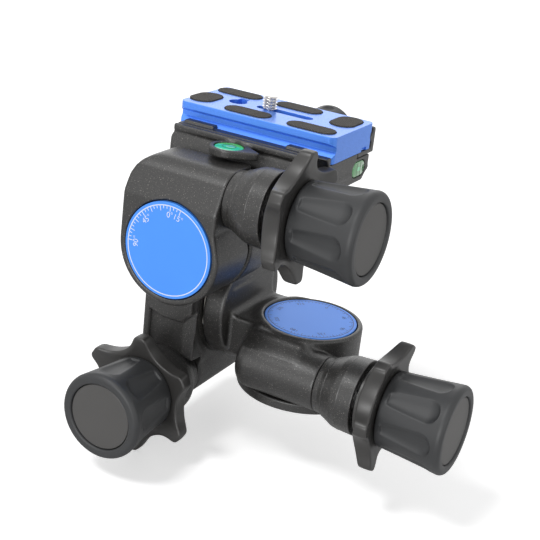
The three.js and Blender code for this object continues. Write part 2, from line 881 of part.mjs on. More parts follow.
function rollHousing() {
  const stage = stages.roll;
  const back = rollFace - stage.floorBack;
  const left = rollX + stage.dome;
  const right = rollX + tubeEnd;
  const tubeZ = rollZ + stage.tubeY;
  const top = tubeZ + tubeRadius;
  const face = new THREE.Shape();
  face.moveTo(right, top);
  face.lineTo(left + blockCorner, top);
  face.absarc(left + blockCorner, top - blockCorner, blockCorner, quarterTurn, halfTurn, false);
  face.lineTo(rollX - rollRim, rollZ);
  face.absarc(rollX, rollZ, rollRim, halfTurn, turn, false);
  face.lineTo(right, rollZ + faceShoulder);
  const slab = prism(face, 'y', rollFace, back);
  // Seen along the tube, the top front edge follows the tube.
  const tubeY = rollFace - stage.tubeZ;
  const side = new THREE.Shape();
  side.moveTo(back, rollZ - 2 * rollRim);
  side.lineTo(back, top + overrun);
  side.lineTo(tubeY, top);
  side.absarc(tubeY, tubeZ, tubeRadius, quarterTurn, frontRoundTo, false);
  side.lineTo(rollFace, tubeZ - frontRoundFoot);
  side.lineTo(rollFace, rollZ - 2 * rollRim);
  const rounded = common(slab, prism(side, 'x', left - overrun, right + overrun));
  const swing = hubRadius + armSwing;
  const platform = prism(
    outline([
      [platformLeft, platformTop - platformThickness], [platformLeft, platformTop], [platformRight, platformTop],
      [platformRight, platformTop - armDrop], [rollX, platformTop - armDrop], [rollX, platformTop - platformThickness],
    ]),
    'y', back - stage.seam, platformRear,
  );
  const clearHub = rod(swing, 'y', back, platformRear + overrun, castSteps).translate(rollX, 0, rollZ);
  const tick = block(
    rollX - indexHalf, rollX + indexHalf, rollFace - overrun, rollFace + indexDepth,
    rollZ - rollRim - overrun, rollZ - dialRadius + seat,
  );
  const body = join(rounded, cut(platform, clearHub, collarWay()));
  return cut(body, tick, ...hollows(stage, wellOf(stage), dialRadius + seat, dialRecess));
}

function roundedBox(halfX, halfY, corner) {
  const shape = new THREE.Shape();
  shape.moveTo(halfX, halfY - corner);
  shape.absarc(halfX - corner, halfY - corner, corner, 0, quarterTurn, false);
  shape.absarc(corner - halfX, halfY - corner, corner, quarterTurn, halfTurn, false);
  shape.absarc(corner - halfX, corner - halfY, corner, halfTurn, 3 * quarterTurn, false);
  shape.absarc(halfX - corner, corner - halfY, corner, 3 * quarterTurn, turn, false);
  return shape;
}

// The clamp's near rail keeps the plate's flare, one clearance away from its slope.
const slopeGap = seat * Math.SQRT2;
const nearFlare = plateY - flareHalf - slopeGap;

function clampBody() {
  const railInner = plateY - flareHalf - seat;
  const ledge = clampRailOuter + railLedge;
  const section = outline([
    [clampRailOuter - clampFlare, clampBottom],
    [clampRailOuter - clampFlare / 2, clampBottom + clampShoulder],
    [clampRailOuter, clampFloor],
    [clampRailOuter, clampRailTop],
    [ledge, clampRailTop],
    [ledge, clampRailTop - railGroove],
    [ledge + railGroove, clampRailTop - railGroove],
    [ledge + railGroove, clampRailTop],
    [nearFlare + clampRailTop - flareZ, clampRailTop],
    [railInner, flareZ],
    [railInner, clampFloor],
    [stepFront, clampFloor],
    [stepFront, clampFloor - stepDepth],
    [clampRear, clampFloor - stepDepth],
    [clampRear, clampBottom],
  ]);
  const bar = prism(section, 'x', clampLeft, clampRight);
  const plan = new THREE.Shape();
  plan.moveTo(clampRight, clampRear);
  plan.lineTo(clampLeft, clampRear);
  plan.lineTo(clampLeft, clampRailOuter - clampFlare + clampNose);
  const noseY = clampRailOuter - clampFlare + clampNose;
  plan.absarc(clampLeft + clampNose, noseY, clampNose, halfTurn, 3 * quarterTurn, false);
  plan.lineTo(clampRight, clampRailOuter - clampFlare);
  const rail = common(bar, prism(plan, 'z', clampBottom - overrun, clampRailTop + overrun));
  const hook = outline([
    [nearFlare + clampRailTop - flareZ - lipDepth, clampRailTop - overrun],
    [nearFlare + clampRailTop - flareZ - lipDepth, clampRailTop + lipRise],
    [nearFlare + clampRailTop - flareZ + lipRise, clampRailTop + lipRise],
    [nearFlare + clampRailTop - flareZ - overrun, clampRailTop - overrun],
  ]);
  const lipStart = clampLeft + clampNose / 2;
  const lips = [
    prism(hook, 'x', lipStart, lipStart + lipLength),
    prism(hook, 'x', clampRight - shortLipInset - shortLipLength, clampRight - shortLipInset),
  ];
  const end = prism(
    outline([
      [endBlockFront, clampBottom + overrun], [endBlockFront, clampBottom - endBlockDrop],
      [clampRear - endChamfer, clampBottom - endBlockDrop], [clampRear, clampBottom], [clampRear, clampBottom + overrun],
    ]),
    'x', clampRight - endBlockWidth, clampRight,
  );
  const boss = new THREE.Shape();
  const bossHeight = bossTop - (rollZ + stages.roll.tubeY + tubeRadius + seat);
  boss.absarc(0, 0, bossRadius, Math.acos(bossRadius / bossTail), turn - Math.acos(bossRadius / bossTail), false);
  boss.lineTo(bossTail, -bossTailRadius);
  boss.lineTo(bossTail, bossTailRadius);
  const teardrop = prism(boss, 'z', bossTop - bossHeight, bossTop).translate(bossX, bossY, 0);
  const pocketFloor = bossTop - vialHeight - 2 * seat;
  const pocket = rod(vialRadius + seat, 'z', pocketFloor, bossTop + overrun).translate(bossX, bossY, 0);
  const ringWay = rod(ringTip + ringSweep, 'x', rollX + ringStart - ringSweep, clampRight + overrun, castSteps);
  ringWay.translate(0, rollFace - stages.roll.tubeZ, rollZ + stages.roll.tubeY);
  const levelShape = roundedBox(endVialHalf + slip, endVialRadius + slip, endVialRadius);
  const levelRoom = prism(levelShape, 'x', clampRight - endVialDepth, clampRight + overrun);
  levelRoom.translate(0, endVialY, endVialZ);
  const screwWay = rod(screwBore, 'y', screwFront - seat, clampRear + overrun, pinSteps).translate(screwX, 0, screwZ);
  const springWay = rod(springHole, 'y', stepFront - springLength - seat, stepFront + overrun, pinSteps);
  springWay.translate(springX, 0, springZ);
  return cut(join(rail, ...lips, end, teardrop), pocket, collarWay(), ringWay, levelRoom, screwWay, springWay);
}

function clampSpring() {
  const rise = (springLength - 2 * springWire) / springTurns;
  const wound = coil(springRadius, springWire, springTurns, springWire, rise);
  return wound.rotateZ(-quarterTurn).translate(springX, stepFront - slip, springZ);
}

function clampJaw() {
  const farFlare = plateY + flareHalf + slopeGap;
  const farLip = plateY + plateHalf + slopeGap;
  const section = outline([
    [stepFront + seat, tongueBottom],
    [jawRear, tongueBottom],
    [jawRear, jawTop - jawEdge],
    [jawRear - jawEdge, jawTop],
    [farLip, jawTop],
    [farLip, grooveZ + jawHook / 2 + seat],
    [farFlare - jawHook + seat, flareZ + jawHook],
    [farFlare + seat, flareZ],
    [farFlare + seat, clampFloor],
    [stepFront + seat, clampFloor],
  ]);
  const bar = prism(section, 'x', clampLeft + overrun, clampRight);
  const skirt = block(screwX - skirtHalf, screwX + skirtHalf, jawFront, jawRear, skirtBottom, tongueBottom + overrun);
  const slotEdge = screwBore + slip;
  const slot = block(
    screwX - slotEdge, screwX + slotEdge, 0, jawFront, tongueBottom - overrun, clampFloor + overrun,
  );
  const hole = rod(screwBore, 'y', jawFront - overrun, jawRear + overrun, pinSteps).translate(screwX, 0, screwZ);
  return cut(join(bar, skirt), slot, hole);
}

// The clamp's knob is made along x and turned to point to +Y.
function toRear(geometry) {
  return geometry.rotateZ(quarterTurn).translate(screwX, 0, screwZ);
}

function clampGrip() {
  const body = grip(
    knobSeat, clampGripLength, clampGripWaist, clampGripMouth, clampFluteDepth, clampCapRadius,
    clampCapThickness + clampCapInset, screwRadius,
  );
  return toRear(toGeometry(body));
}

function clampCap() {
  const face = knobSeat + clampGripLength - clampCapInset;
  return toRear(disc(clampCapRadius, capEdge, face - clampCapThickness, face));
}

function clampScrew() {
  const end = knobSeat + clampGripLength - clampCapInset - clampCapThickness - seat;
  return toRear(rod(screwRadius, 'x', screwFront, end, pinSteps));
}

// Pads: their middle and their length, as shares of the plate. The first and the last lie across it.
const padShares = [
  { along: -0.864, aside: -0.308, length: 0.451, across: true },
  { along: -0.2, aside: -0.646, length: 0.268, across: false },
  { along: -0.698, aside: 0.646, length: 0.268, across: false },
  { along: 0.617, aside: -0.646, length: 0.282, across: false },
  { along: 0.107, aside: 0.646, length: 0.275, across: false },
  { along: 0.779, aside: 0.431, length: 0.477, across: true },
];
const padPlaces = padShares.map((share) => ({
  at: [(share.along * plateLength) / 2, share.aside * plateHalf],
  length: share.length * (share.across ? 2 * plateHalf : plateLength),
  across: share.across,
}));

function padShape(pad, play) {
  const half = pad.length / 2 + play;
  const halfWidth = padWidth / 2 + play;
  return pad.across ? roundedBox(halfWidth, half, halfWidth) : roundedBox(half, halfWidth, halfWidth);
}

function onPlate(geometry, [along, across]) {
  return geometry.translate(plateX + along, plateY + across, 0);
}

function cameraPlate() {
  const lipZ = plateTop - plateLip;
  const half = [
    [plateHalf, plateTop],
    [plateHalf, lipZ],
    [flareHalf - flareDepth, grooveZ],
    [flareHalf, flareZ],
    [flareHalf, plateBottom],
  ];
  const mirrored = half.map(([across, z]) => [-across, z]).reverse();
  const bar = prism(outline([...half, ...mirrored]), 'x', -plateLength / 2, plateLength / 2);
  const plan = prism(roundedBox(plateLength / 2, plateHalf, plateCorner), 'z', plateBottom, plateTop);
  const tools = padPlaces.map((pad) => {
    const room = prism(padShape(pad, padPlay), 'z', plateTop - padRecess, plateTop + overrun);
    return room.translate(pad.at[0], pad.at[1], 0);
  });
  const slotHalf = (slotTo - slotFrom) / 2;
  const slot = prism(roundedBox(slotHalf, slotWidth / 2, slotWidth / 2), 'z', plateBottom, plateTop + overrun);
  const roomShape = roundedBox(slotHalf + slotRoomPast, slotRoomWidth / 2, slotRoomWidth / 2 - overrun);
  const room = prism(roomShape, 'z', plateBottom - overrun, slotCeilingZ);
  [slot, room].forEach((geometry) => geometry.translate((slotFrom + slotTo) / 2, 0, 0));
  const keyRound = rod(keyRadius, 'z', plateBottom - overrun, plateTop + overrun, pinSteps).translate(keyX, keyY, 0);
  const keyNarrow = block(
    keyX - keyTailRadius, keyX + keyTailRadius, keyY, keyY + keyTail, plateBottom - overrun, plateTop + overrun,
  );
  const stops = [-1, 1].map((end) => {
    const hole = rod(stopRadius + slip, 'z', plateBottom - overrun, plateBottom + stopLength, pinSteps);
    return hole.translate(end * (plateLength / 2 - stopInset), stopY, 0);
  });
  const notches = [-1, 1].map((end) => block(
    end * (plateLength / 2) - overrun, end * (plateLength / 2) + overrun, notchFrom, notchTo,
    plateBottom - overrun, plateBottom + notchDepth,
  ));
  const solid = cut(common(bar, plan), ...tools, slot, room, keyRound, keyNarrow, ...stops, ...notches);
  return onPlate(toGeometry(solid), [0, 0]);
}

function stopScrew(end) {
  const screw = rod(stopRadius, 'z', plateBottom, plateBottom + stopLength - seat, pinSteps);
  return onPlate(screw, [end * (plateLength / 2 - stopInset), stopY]);
}

function cameraScrew() {
  const headTop = slotCeilingZ - seat - clipThickness - seat;
  const neckTop = plateTop + slip;
  const profile = [
    [0, headTop - headThickness],
    [headRadius, headTop - headThickness],
    [headRadius, headTop],
    [neckRadius, headTop],
    [neckRadius, neckTop],
    [threadRadius, neckTop],
    [threadRadius, neckTop + threadLength - threadEdge],
    [threadRadius - threadEdge, neckTop + threadLength],
    [0, neckTop + threadLength],
  ];
  return onPlate(turned(profile, 'z', boreSteps), [screwAt, 0]);
}

function screwClip() {
  const top = slotCeilingZ - seat;
  const ring = pipe(neckRadius + slip, clipRadius, 'z', top - clipThickness, top, pinSteps);
  const under = top - clipThickness - overrun;
  const mouth = block(0, clipRadius + overrun, -clipMouth / 2, clipMouth / 2, under, top + overrun);
  return onPlate(toGeometry(cut(ring, mouth)), [screwAt, 0]);
}

// A stage's own pieces, in a group that carries the stage's frame.
function stageGroup(name, stage) {
  const group = new THREE.Group();
  group.applyMatrix4(stage.matrix);
  const collarShape = name === 'pan' ? panCollar() : collar(stage);
  group.add(
    piece(`${name}_wheel`, wormWheel(stage), materials.bronze),
    piece(`${name}_washer`, washer(stage), materials.polymer),
    piece(`${name}_ring_nut`, ringNut(stage), materials.steel),
    piece(`${name}_collar`, collarShape, materials.casting),
    piece(`${name}_spring`, torsionSpring(stage), materials.steel),
    piece(`${name}_sleeve`, sleeve(stage), materials.steel),
    piece(`${name}_release_ring`, releaseRing(stage), materials.ring),
    piece(`${name}_worm`, wormShaft(stage), materials.steel),
    piece(`${name}_knob_grip`, knobGrip(stage), materials.rubber),
    piece(`${name}_knob_cap`, knobCap(stage), materials.cap),
  );
  if (name !== 'pan') group.add(piece(`${name}_axle`, axle(stage), materials.steel));
  if (name !== 'tilt') group.add(piece(`${name}_dial`, dial(stage), materials.blue));
  if (name === 'tilt') {
    const cover = rod(coverRadius, 'z', -coverThickness, 0, castSteps);
    group.add(piece('tilt_cover', cover, materials.casting));
  }
  return group;
}

function clampGroup() {
  const group = new THREE.Group();
  const vial = rod(vialRadius, 'z', bossTop - vialHeight - seat, bossTop - seat, boreSteps);
  vial.translate(bossX, bossY, 0);
  const endShape = roundedBox(endVialHalf, endVialRadius, endVialRadius - slip);
  const endVial = prism(endShape, 'x', clampRight - endVialDepth + seat, clampRight);
  endVial.translate(0, endVialY, endVialZ);
  group.add(
    piece('clamp_body', clampBody(), materials.casting),
    piece('round_level', vial, materials.vial),
    piece('tube_level', endVial, materials.vial),
    piece('clamp_spring', clampSpring(), materials.steel),
    piece('clamp_jaw', clampJaw(), materials.casting),
    piece('clamp_screw', clampScrew(), materials.steel),
    piece('clamp_knob_grip', clampGrip(), materials.rubber),
    piece('clamp_knob_cap', clampCap(), materials.cap),
  );
  return group;
}

function plateGroup() {
  const group = new THREE.Group();
  group.add(piece('camera_plate', cameraPlate(), materials.blue));
  padPlaces.forEach((pad, k) => {
    const rubber = prism(padShape(pad, 0), 'z', plateTop - padRecess + seat, plateTop + padProud);
    group.add(piece(`pad_${k + 1}`, onPlate(rubber, pad.at), materials.pad));
  });
  group.add(
    piece('stop_screw_left', stopScrew(-1), materials.steel),
    piece('stop_screw_right', stopScrew(1), materials.steel),
    piece('camera_screw', cameraScrew(), materials.steel),
    piece('screw_clip', screwClip(), materials.steel),
  );
  return group;
}

const head = new THREE.Group();
head.add(
  piece('base_flange', foot(), materials.casting),
  piece('tripod_bush', pipe(bushBore, bushRadius, 'z', 0, bushHeight, boreSteps), materials.steel),
  piece('pan_housing', panHousing(), materials.casting),
  piece('tilt_housing', tiltHousing(), materials.casting),
  piece('roll_housing', rollHousing(), materials.casting),
);
for (const [name, stage] of Object.entries(stages)) head.add(stageGroup(name, stage));
head.add(clampGroup(), plateGroup());

export default head;
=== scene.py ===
# Looks of the geared tripod head: coated castings, rubber knobs, release rings, blue dials, clamp and plate.
# Lengths are in millimetres, in the frame of the CAD model, and become metres where a mesh is made.
import json
import math

import bmesh
import bpy
import numpy as np
import openvdb
from mathutils import Matrix, Vector


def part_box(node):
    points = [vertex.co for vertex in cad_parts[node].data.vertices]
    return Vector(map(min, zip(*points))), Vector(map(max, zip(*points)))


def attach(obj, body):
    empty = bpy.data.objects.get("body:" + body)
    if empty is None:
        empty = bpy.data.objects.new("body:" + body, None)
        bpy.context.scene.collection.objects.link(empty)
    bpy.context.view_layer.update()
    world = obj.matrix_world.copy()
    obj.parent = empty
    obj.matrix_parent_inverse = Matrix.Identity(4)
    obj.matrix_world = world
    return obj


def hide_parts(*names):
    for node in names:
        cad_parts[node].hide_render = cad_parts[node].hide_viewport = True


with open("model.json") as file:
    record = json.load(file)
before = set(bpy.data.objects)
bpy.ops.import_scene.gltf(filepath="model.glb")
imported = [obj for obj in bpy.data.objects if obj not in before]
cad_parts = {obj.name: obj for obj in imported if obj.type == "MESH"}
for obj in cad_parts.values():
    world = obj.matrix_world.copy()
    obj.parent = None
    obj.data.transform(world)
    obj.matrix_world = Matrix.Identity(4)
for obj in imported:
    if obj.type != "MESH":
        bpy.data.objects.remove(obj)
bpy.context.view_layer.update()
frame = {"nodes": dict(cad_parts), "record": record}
mm = 0.001
slots = {part["node"]: part["material_slot"] for part in frame["record"]["subparts"]}
print("frame loaded:", len(frame["nodes"]), "nodes")


# Shader values that read as numbers

class Wire:
    def __init__(self, tree, socket):
        self.tree = tree
        self.socket = socket

    def combine(self, operation, *values):
        node = self.tree.nodes.new("ShaderNodeMath")
        node.operation = operation
        for socket, value in zip(node.inputs, values):
            if isinstance(value, Wire):
                self.tree.links.new(value.socket, socket)
            else:
                socket.default_value = value
        return Wire(self.tree, node.outputs[0])

    def __add__(self, other):
        return self.combine("ADD", self, other)

    def __sub__(self, other):
        return self.combine("SUBTRACT", self, other)

    def __rsub__(self, other):
        return self.combine("SUBTRACT", other, self)

    def __mul__(self, other):
        return self.combine("MULTIPLY", self, other)

    __radd__ = __add__
    __rmul__ = __mul__


class Finish:
    # one material: constants go on the shader's own sockets, what varies is linked
    def __init__(self, name, constants):
        self.material = bpy.data.materials.new(name)
        self.material.use_nodes = True
        self.tree = self.material.node_tree
        self.shader = self.tree.nodes["Principled BSDF"]
        for key, value in constants.items():
            self.shader.inputs[key].default_value = value
        self.place = self.node("TexCoord", {}, {}, "Object")

    def node(self, kind, settings, sockets, out=0):
        made = self.tree.nodes.new("ShaderNode" + kind)
        for key, value in settings.items():
            setattr(made, key, value)
        for key, value in sockets.items():
            if isinstance(value, Wire):
                self.tree.links.new(value.socket, made.inputs[key])
            else:
                made.inputs[key].default_value = value
        return Wire(self.tree, made.outputs[out])

    def noise(self, size, detail=2.0, rough=0.5):
        sockets = {"Vector": self.place, "Scale": 1 / (size * mm), "Detail": detail, "Roughness": rough}
        return self.node("TexNoise", {}, sockets)

    def ramp(self, value, start, end):
        return self.node("MapRange", {}, {"Value": value, 1: start, 2: end})

    def blend(self, factor, one, other):
        return self.node("Mix", {"data_type": "RGBA"}, {0: factor, 6: one, 7: other}, 2)

    def feed(self, socket, wire):
        self.tree.links.new(wire.socket, self.shader.inputs[socket])

    def relief(self, height, depth):
        sockets = {"Height": height, "Distance": depth * mm, "Strength": 1.0}
        self.feed("Normal", self.node("Bump", {}, sockets))


def grey(level, warm=0.0):
    return (level * (1 + warm), level, level * (1 - warm), 1.0)


def coatedMetal(name, dark, light, grain, depth, roughness):
    # powder coat: a close grain of small bumps, the tops painted a little paler and smoother, and a few bright
    # specks; the paler tops are painted light on the grain, the darker hollows painted shade, and the specks
    # painted glints
    s = {"paintedLitTops": (0.42, 0.68), "patch": 14.0, "glintSize": 0.7, "paintedGlints": (0.64, 0.72),
         "glintColour": grey(0.34, 0.08)}
    finish = Finish(name, {"Metallic": 0.0, "Specular IOR Level": 0.68})
    bumps = finish.noise(grain, 2.0, 0.6)
    patches = finish.noise(s["patch"], 3.0, 0.6)
    # painted light: the tops of the grain are paler and the hollows darker as painted shade; the same mask makes
    # the tops smoother
    paintedLitTops = finish.ramp(bumps, *s["paintedLitTops"])
    # painted glints: bright specks on the tops of the grain stand in for the sparkle of light on the coat
    paintedGlints = finish.ramp(finish.noise(s["glintSize"] * grain, 1.0, 0.5), *s["paintedGlints"])
    finish.feed("Base Color", finish.blend(paintedGlints * paintedLitTops, finish.blend(paintedLitTops, dark, light), s["glintColour"]))
    finish.feed("Roughness", roughness - 0.12 * paintedLitTops + 0.08 * patches)
    finish.relief(bumps, depth)
    return finish.material


def mouldedSkin(name, dark, light, roughness, grain, depth):
    # moulded rubber or plastic: fine texture, and dull handling patches
    finish = Finish(name, {"Metallic": 0.0})
    fine = finish.noise(grain, 2.0, 0.55)
    handled = finish.noise(9.0, 4.0, 0.6)
    finish.feed("Base Color", finish.blend(handled, dark, light))
    finish.feed("Roughness", roughness + 0.12 * handled - 0.05 * fine)
    finish.relief(fine, depth)
    return finish.material


def blastedMetal(name, dark, light, metallic, roughness, grain, depth):
    # anodised metal over a fine blasted surface
    finish = Finish(name, {"Metallic": metallic, "Specular IOR Level": 0.5})
    fine = finish.noise(grain, 2.0, 0.6)
    cloud = finish.noise(22.0, 2.0, 0.5)
    finish.feed("Base Color", finish.blend(cloud, dark, light))
    finish.feed("Roughness", roughness + 0.06 * (fine - 0.5))
    finish.relief(fine, depth)
    return finish.material


def turnedMetal(name, dark, light, roughness, ridge, axis):
    # bright metal with the fine rings that a lathe leaves
    finish = Finish(name, {"Metallic": 1.0})
    apart = finish.node("SeparateXYZ", {}, {"Vector": finish.place}, axis)
    ridges = apart.combine("SINE", apart * (2 * math.pi / (ridge * mm)))
    smears = finish.noise(1.6, 3.0, 0.6)
    finish.feed("Base Color", finish.blend(smears, dark, light))
    finish.feed("Roughness", roughness + 0.15 * smears)
    finish.relief(ridges * 0.5 + smears, 0.01)
    return finish.material


def paint(name, dark, light, roughness):
    finish = Finish(name, {"Metallic": 0.0})
    wear = finish.noise(0.7, 3.0, 0.6)
    finish.feed("Base Color", finish.blend(wear, dark, light))
    finish.feed("Roughness", roughness + 0.1 * wear)
    return finish.material


def levelFluid(name, deep, pale, paintedGlow):
    # tinted fluid under a clear cap, with a painted glow: it gives off its own colour a little, painted light
    # that brightens it
    clear = {"Roughness": 0.12, "Coat Weight": 1.0, "Coat Roughness": 0.03, "Emission Strength": paintedGlow}
    finish = Finish(name, clear)
    swirl = finish.noise(5.0, 1.0, 0.4)
    colour = finish.blend(swirl, deep, pale)
    finish.feed("Base Color", colour)
    # painted glow: the fluid's colour is also given off as light
    finish.feed("Emission Color", colour)
    return finish.material


def hatchedRubber(name, dark, light, pitch):
    # two crossing sets of grooves leave small pyramids; the colour follows them, the tops paler as painted light
    # and the grooves darker as painted shade
    finish = Finish(name, {"Metallic": 0.0, "Roughness": 0.8})
    turned = finish.node("VectorRotate", {}, {"Vector": finish.place, "Angle": math.pi / 4})
    east = finish.node("SeparateXYZ", {}, {"Vector": turned}, "X")
    north = finish.node("SeparateXYZ", {}, {"Vector": turned}, "Y")
    wave = 2 * math.pi / (pitch * mm)
    paintedLitTops = finish.ramp(east.combine("SINE", east * wave) + north.combine("SINE", north * wave), -1.6, 1.8)
    # painted shade in the grooves and painted light on the pyramid tops
    finish.feed("Base Color", finish.blend(paintedLitTops, dark, light))
    finish.relief(paintedLitTops, 0.35)
    return finish.material


finishes = {
    "casting": coatedMetal("castingCoat", grey(0.011, 0.03), grey(0.024, 0.04), 0.50, 0.055, 0.41),
    "foot": coatedMetal("footCoat", grey(0.010, 0.03), grey(0.020, 0.04), 0.35, 0.04, 0.42),
    "ring": mouldedSkin("ringPlastic", grey(0.026, 0.03), grey(0.034, 0.04), 0.36, 0.5, 0.012),
    "rubber": mouldedSkin("knobRubber", (0.020, 0.021, 0.022, 1), (0.027, 0.028, 0.030, 1), 0.48, 0.4, 0.015),
    "cap": blastedMetal("capMetal", grey(0.058, 0.03), grey(0.070, 0.03), 0.2, 0.5, 0.3, 0.012),
    "dial": blastedMetal("dialBlue", (0.062, 0.275, 0.90, 1), (0.070, 0.295, 0.94, 1), 0.25, 0.42, 0.25,
                         0.005),
    "plate": blastedMetal("plateBlue", (0.085, 0.27, 0.90, 1), (0.095, 0.29, 0.94, 1), 0.35, 0.28, 0.3,
                          0.005),
    "steel": turnedMetal("brightSteel", grey(0.55, 0.03), grey(0.72, 0.02), 0.2, 0.25, "Z"),
    "alloy": turnedMetal("turnedAlloy", grey(0.45), grey(0.58), 0.3, 0.3, "X"),
    "bronze": turnedMetal("hobbedBronze", (0.50, 0.33, 0.13, 1), (0.66, 0.46, 0.20, 1), 0.32, 0.3, "Z"),
    "polymer": paint("whitePolymer", (0.62, 0.60, 0.54, 1), (0.72, 0.70, 0.64, 1), 0.45),
    "print": paint("scalePrint", (0.62, 0.66, 0.74, 1), (0.70, 0.74, 0.80, 1), 0.5),
    "engraving": paint("scaleEngraving", (0.055, 0.075, 0.19, 1), (0.08, 0.10, 0.24, 1), 0.5),
    "mark": paint("levelMark", (0.01, 0.06, 0.02, 1), (0.03, 0.09, 0.03, 1), 0.3),
    "pad": hatchedRubber("padRubber", (0.018, 0.016, 0.014, 1), (0.068, 0.060, 0.052, 1), 0.95),
    # the levels' fluids and bubble glow a little: painted light
    "fluid": levelFluid("levelFluid", (0.02, 0.66, 0.12, 1), (0.08, 0.78, 0.24, 1), 0.22),
    "paleFluid": levelFluid("paleFluid", (0.10, 0.36, 0.13, 1), (0.14, 0.42, 0.17, 1), 0.04),
    "bubble": levelFluid("levelBubble", (0.12, 0.70, 0.30, 1), (0.20, 0.76, 0.38, 1), 0.06),
}
slotFinish = {"blue": "dial", "vial": "fluid"}
print("finishes made:", len(finishes))


# Outlines, meshes and pieces

def rect(left, right, low, high):
    return [(left, low), (right, low), (right, high), (left, high)]


def circle(radius, angles, at=(0, 0)):
    return [(at[0] + radius * math.cos(a), at[1] + radius * math.sin(a)) for a in angles]


def ringAt(radius, z, angles):
    return [(*point, z) for point in circle(radius, angles)]


def fullTurn(steps):
    return [2 * math.pi * k / steps for k in range(steps)]


def rounded(points, closed=True, steps=6):
    # corners given as (across, up, radius) become arcs
    straight = 0.001
    made = []
    count = len(points)
    for k, point in enumerate(points):
        here = Vector(point[:2])
        radius = point[2] if len(point) > 2 else 0
        before = (Vector(points[k - 1][:2]) - here).normalized()
        after = (Vector(points[(k + 1) % count][:2]) - here).normalized()
        atEnd = not closed and k in (0, count - 1)
        if not radius or atEnd or abs(before.x * after.y - before.y * after.x) < straight:
            made.append((here.x, here.y))
            continue
        half = before.angle(after) / 2
        centre = here + (before + after).normalized() * (radius / math.sin(half))
        start = here + before * (radius / math.tan(half)) - centre
        end = here + after * (radius / math.tan(half)) - centre
        sweep = start.angle_signed(end)
        for i in range(steps + 1):
            arm = start.copy()
            arm.rotate(Matrix.Rotation(-sweep * i / steps, 2))
            made.append((centre.x + arm.x, centre.y + arm.y))
    return made


def stadium(halfLong, halfWide, steps=12):
    edge = halfWide - 0.001
    return rounded([(*p, edge) for p in rect(-halfLong, halfLong, -halfWide, halfWide)], steps=steps)


def loft(rings, loop=False):
    # a skin over rings of points; open ends get a face
    count = len(rings[0])
    points = np.array([point for ring in rings for point in ring], float)
    faces = []
    for row in range(len(rings) if loop else len(rings) - 1):
        near = row * count
        far = (row + 1) % len(rings) * count
        for k in range(count):
            after = (k + 1) % count
            faces.append((near + k, near + after, far + after, far + k))
    if not loop:
        faces.append(tuple(range(count))[::-1])
        faces.append(tuple(range(len(points) - count, len(points))))
    return points, faces


def lathe(profile, steps=128, loop=False):
    # the profile's points are (radius, station); the axis is z
    return loft([ringAt(radius, station, fullTurn(steps)) for radius, station in profile], loop)


def extrude(outline, start, end):
    return loft([[(x, y, z) for x, y in outline] for z in (start, end)])


def moved(shape, matrix):
    points, faces = shape
    turn = np.array(matrix.to_3x3())
    return points @ turn.T + np.array(matrix.translation), faces


def shift(x, y, z=0):
    return Matrix.Translation((x, y, z))


def together(shapes):
    points, faces = [], []
    count = 0
    for some, theirs in shapes:
        points.append(some)
        faces.extend(tuple(count + k for k in face) for face in theirs)
        count += len(some)
    return np.vstack(points), faces


axes = {"x": Vector((1, 0, 0)), "y": Vector((0, 1, 0)), "z": Vector((0, 0, 1)), "-y": Vector((0, -1, 0)),
        "-x": Vector((-1, 0, 0))}


def facing(along, up, origin):
    # a frame with z along one direction and x up another
    z, x = axes[along], axes[up]
    turn = Matrix((x, z.cross(x), z)).transposed().to_4x4()
    turn.translation = Vector(origin)
    return turn


def boxOf(node):
    return [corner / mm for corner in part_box(node)]


def seatOf(node, along, up="z"):
    # the start of a node's box, on its middle line
    low, high = boxOf(node)
    way = axes[along]
    return facing(along, up, (low + high) / 2 - way * abs(((high - low) / 2).dot(way)))


def lengthOf(node, along):
    low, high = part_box(node)
    return abs((high - low).dot(axes[along])) / mm


def addMesh(name, shape):
    points, faces = shape
    mesh = bpy.data.meshes.new(name)
    mesh.from_pydata([tuple(p) for p in np.asarray(points) * mm], [], faces)
    work = bmesh.new()
    work.from_mesh(mesh)
    bmesh.ops.remove_doubles(work, verts=work.verts, dist=0.002 * mm)
    bmesh.ops.recalc_face_normals(work, faces=work.faces)
    work.to_mesh(mesh)
    work.free()
    piece = bpy.data.objects.new(name, mesh)
    bpy.context.scene.collection.objects.link(piece)
    return piece


def settle(piece):
    # the modifiers become the mesh
    graph = bpy.context.evaluated_depsgraph_get()
    piece.data = bpy.data.meshes.new_from_object(piece.evaluated_get(graph))
    piece.modifiers.clear()


def carve(piece, tools, operation="DIFFERENCE"):
    for shape in tools:
        tool = addMesh(piece.name + "Tool", shape)
        work = piece.modifiers.new("carve", "BOOLEAN")
        work.operation = operation
        work.solver = "EXACT"
        work.object = tool
        settle(piece)
        bpy.data.objects.remove(tool)


def ease(piece, width, segments=2, limit=30):
    work = piece.modifiers.new("edges", "BEVEL")
    work.width = width * mm
    work.segments = segments
    work.limit_method = "ANGLE"
    work.angle_limit = math.radians(limit)
    settle(piece)


def smooth(mesh, finish, sharp):
    mesh.materials.clear()
    mesh.materials.append(finishes[finish])
    mesh.shade_smooth()
    mesh.set_sharp_from_angle(angle=math.radians(sharp))


def dress(piece, finish, body, stands=(), sharp=32):
    smooth(piece.data, finish, sharp)
    if sharp < 40:
        work = piece.modifiers.new("shading", "WEIGHTED_NORMAL")
        work.keep_sharp = True
    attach(piece, body)
    if stands:
        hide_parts(*stands)


def standIn(node, shape, finish, body, sharp=32):
    # a finer piece in the place of a CAD node
    dress(addMesh(node + "_look", shape), finish, body, [node], sharp)


# Castings, as distances on a grid of cells, so that one form runs into the next as in cast metal

def softMin(one, other, blend):
    if not blend:
        return np.minimum(one, other)
    near = np.maximum(blend - np.abs(one - other), 0) / blend
    return np.minimum(one, other) - near * near * blend / 4


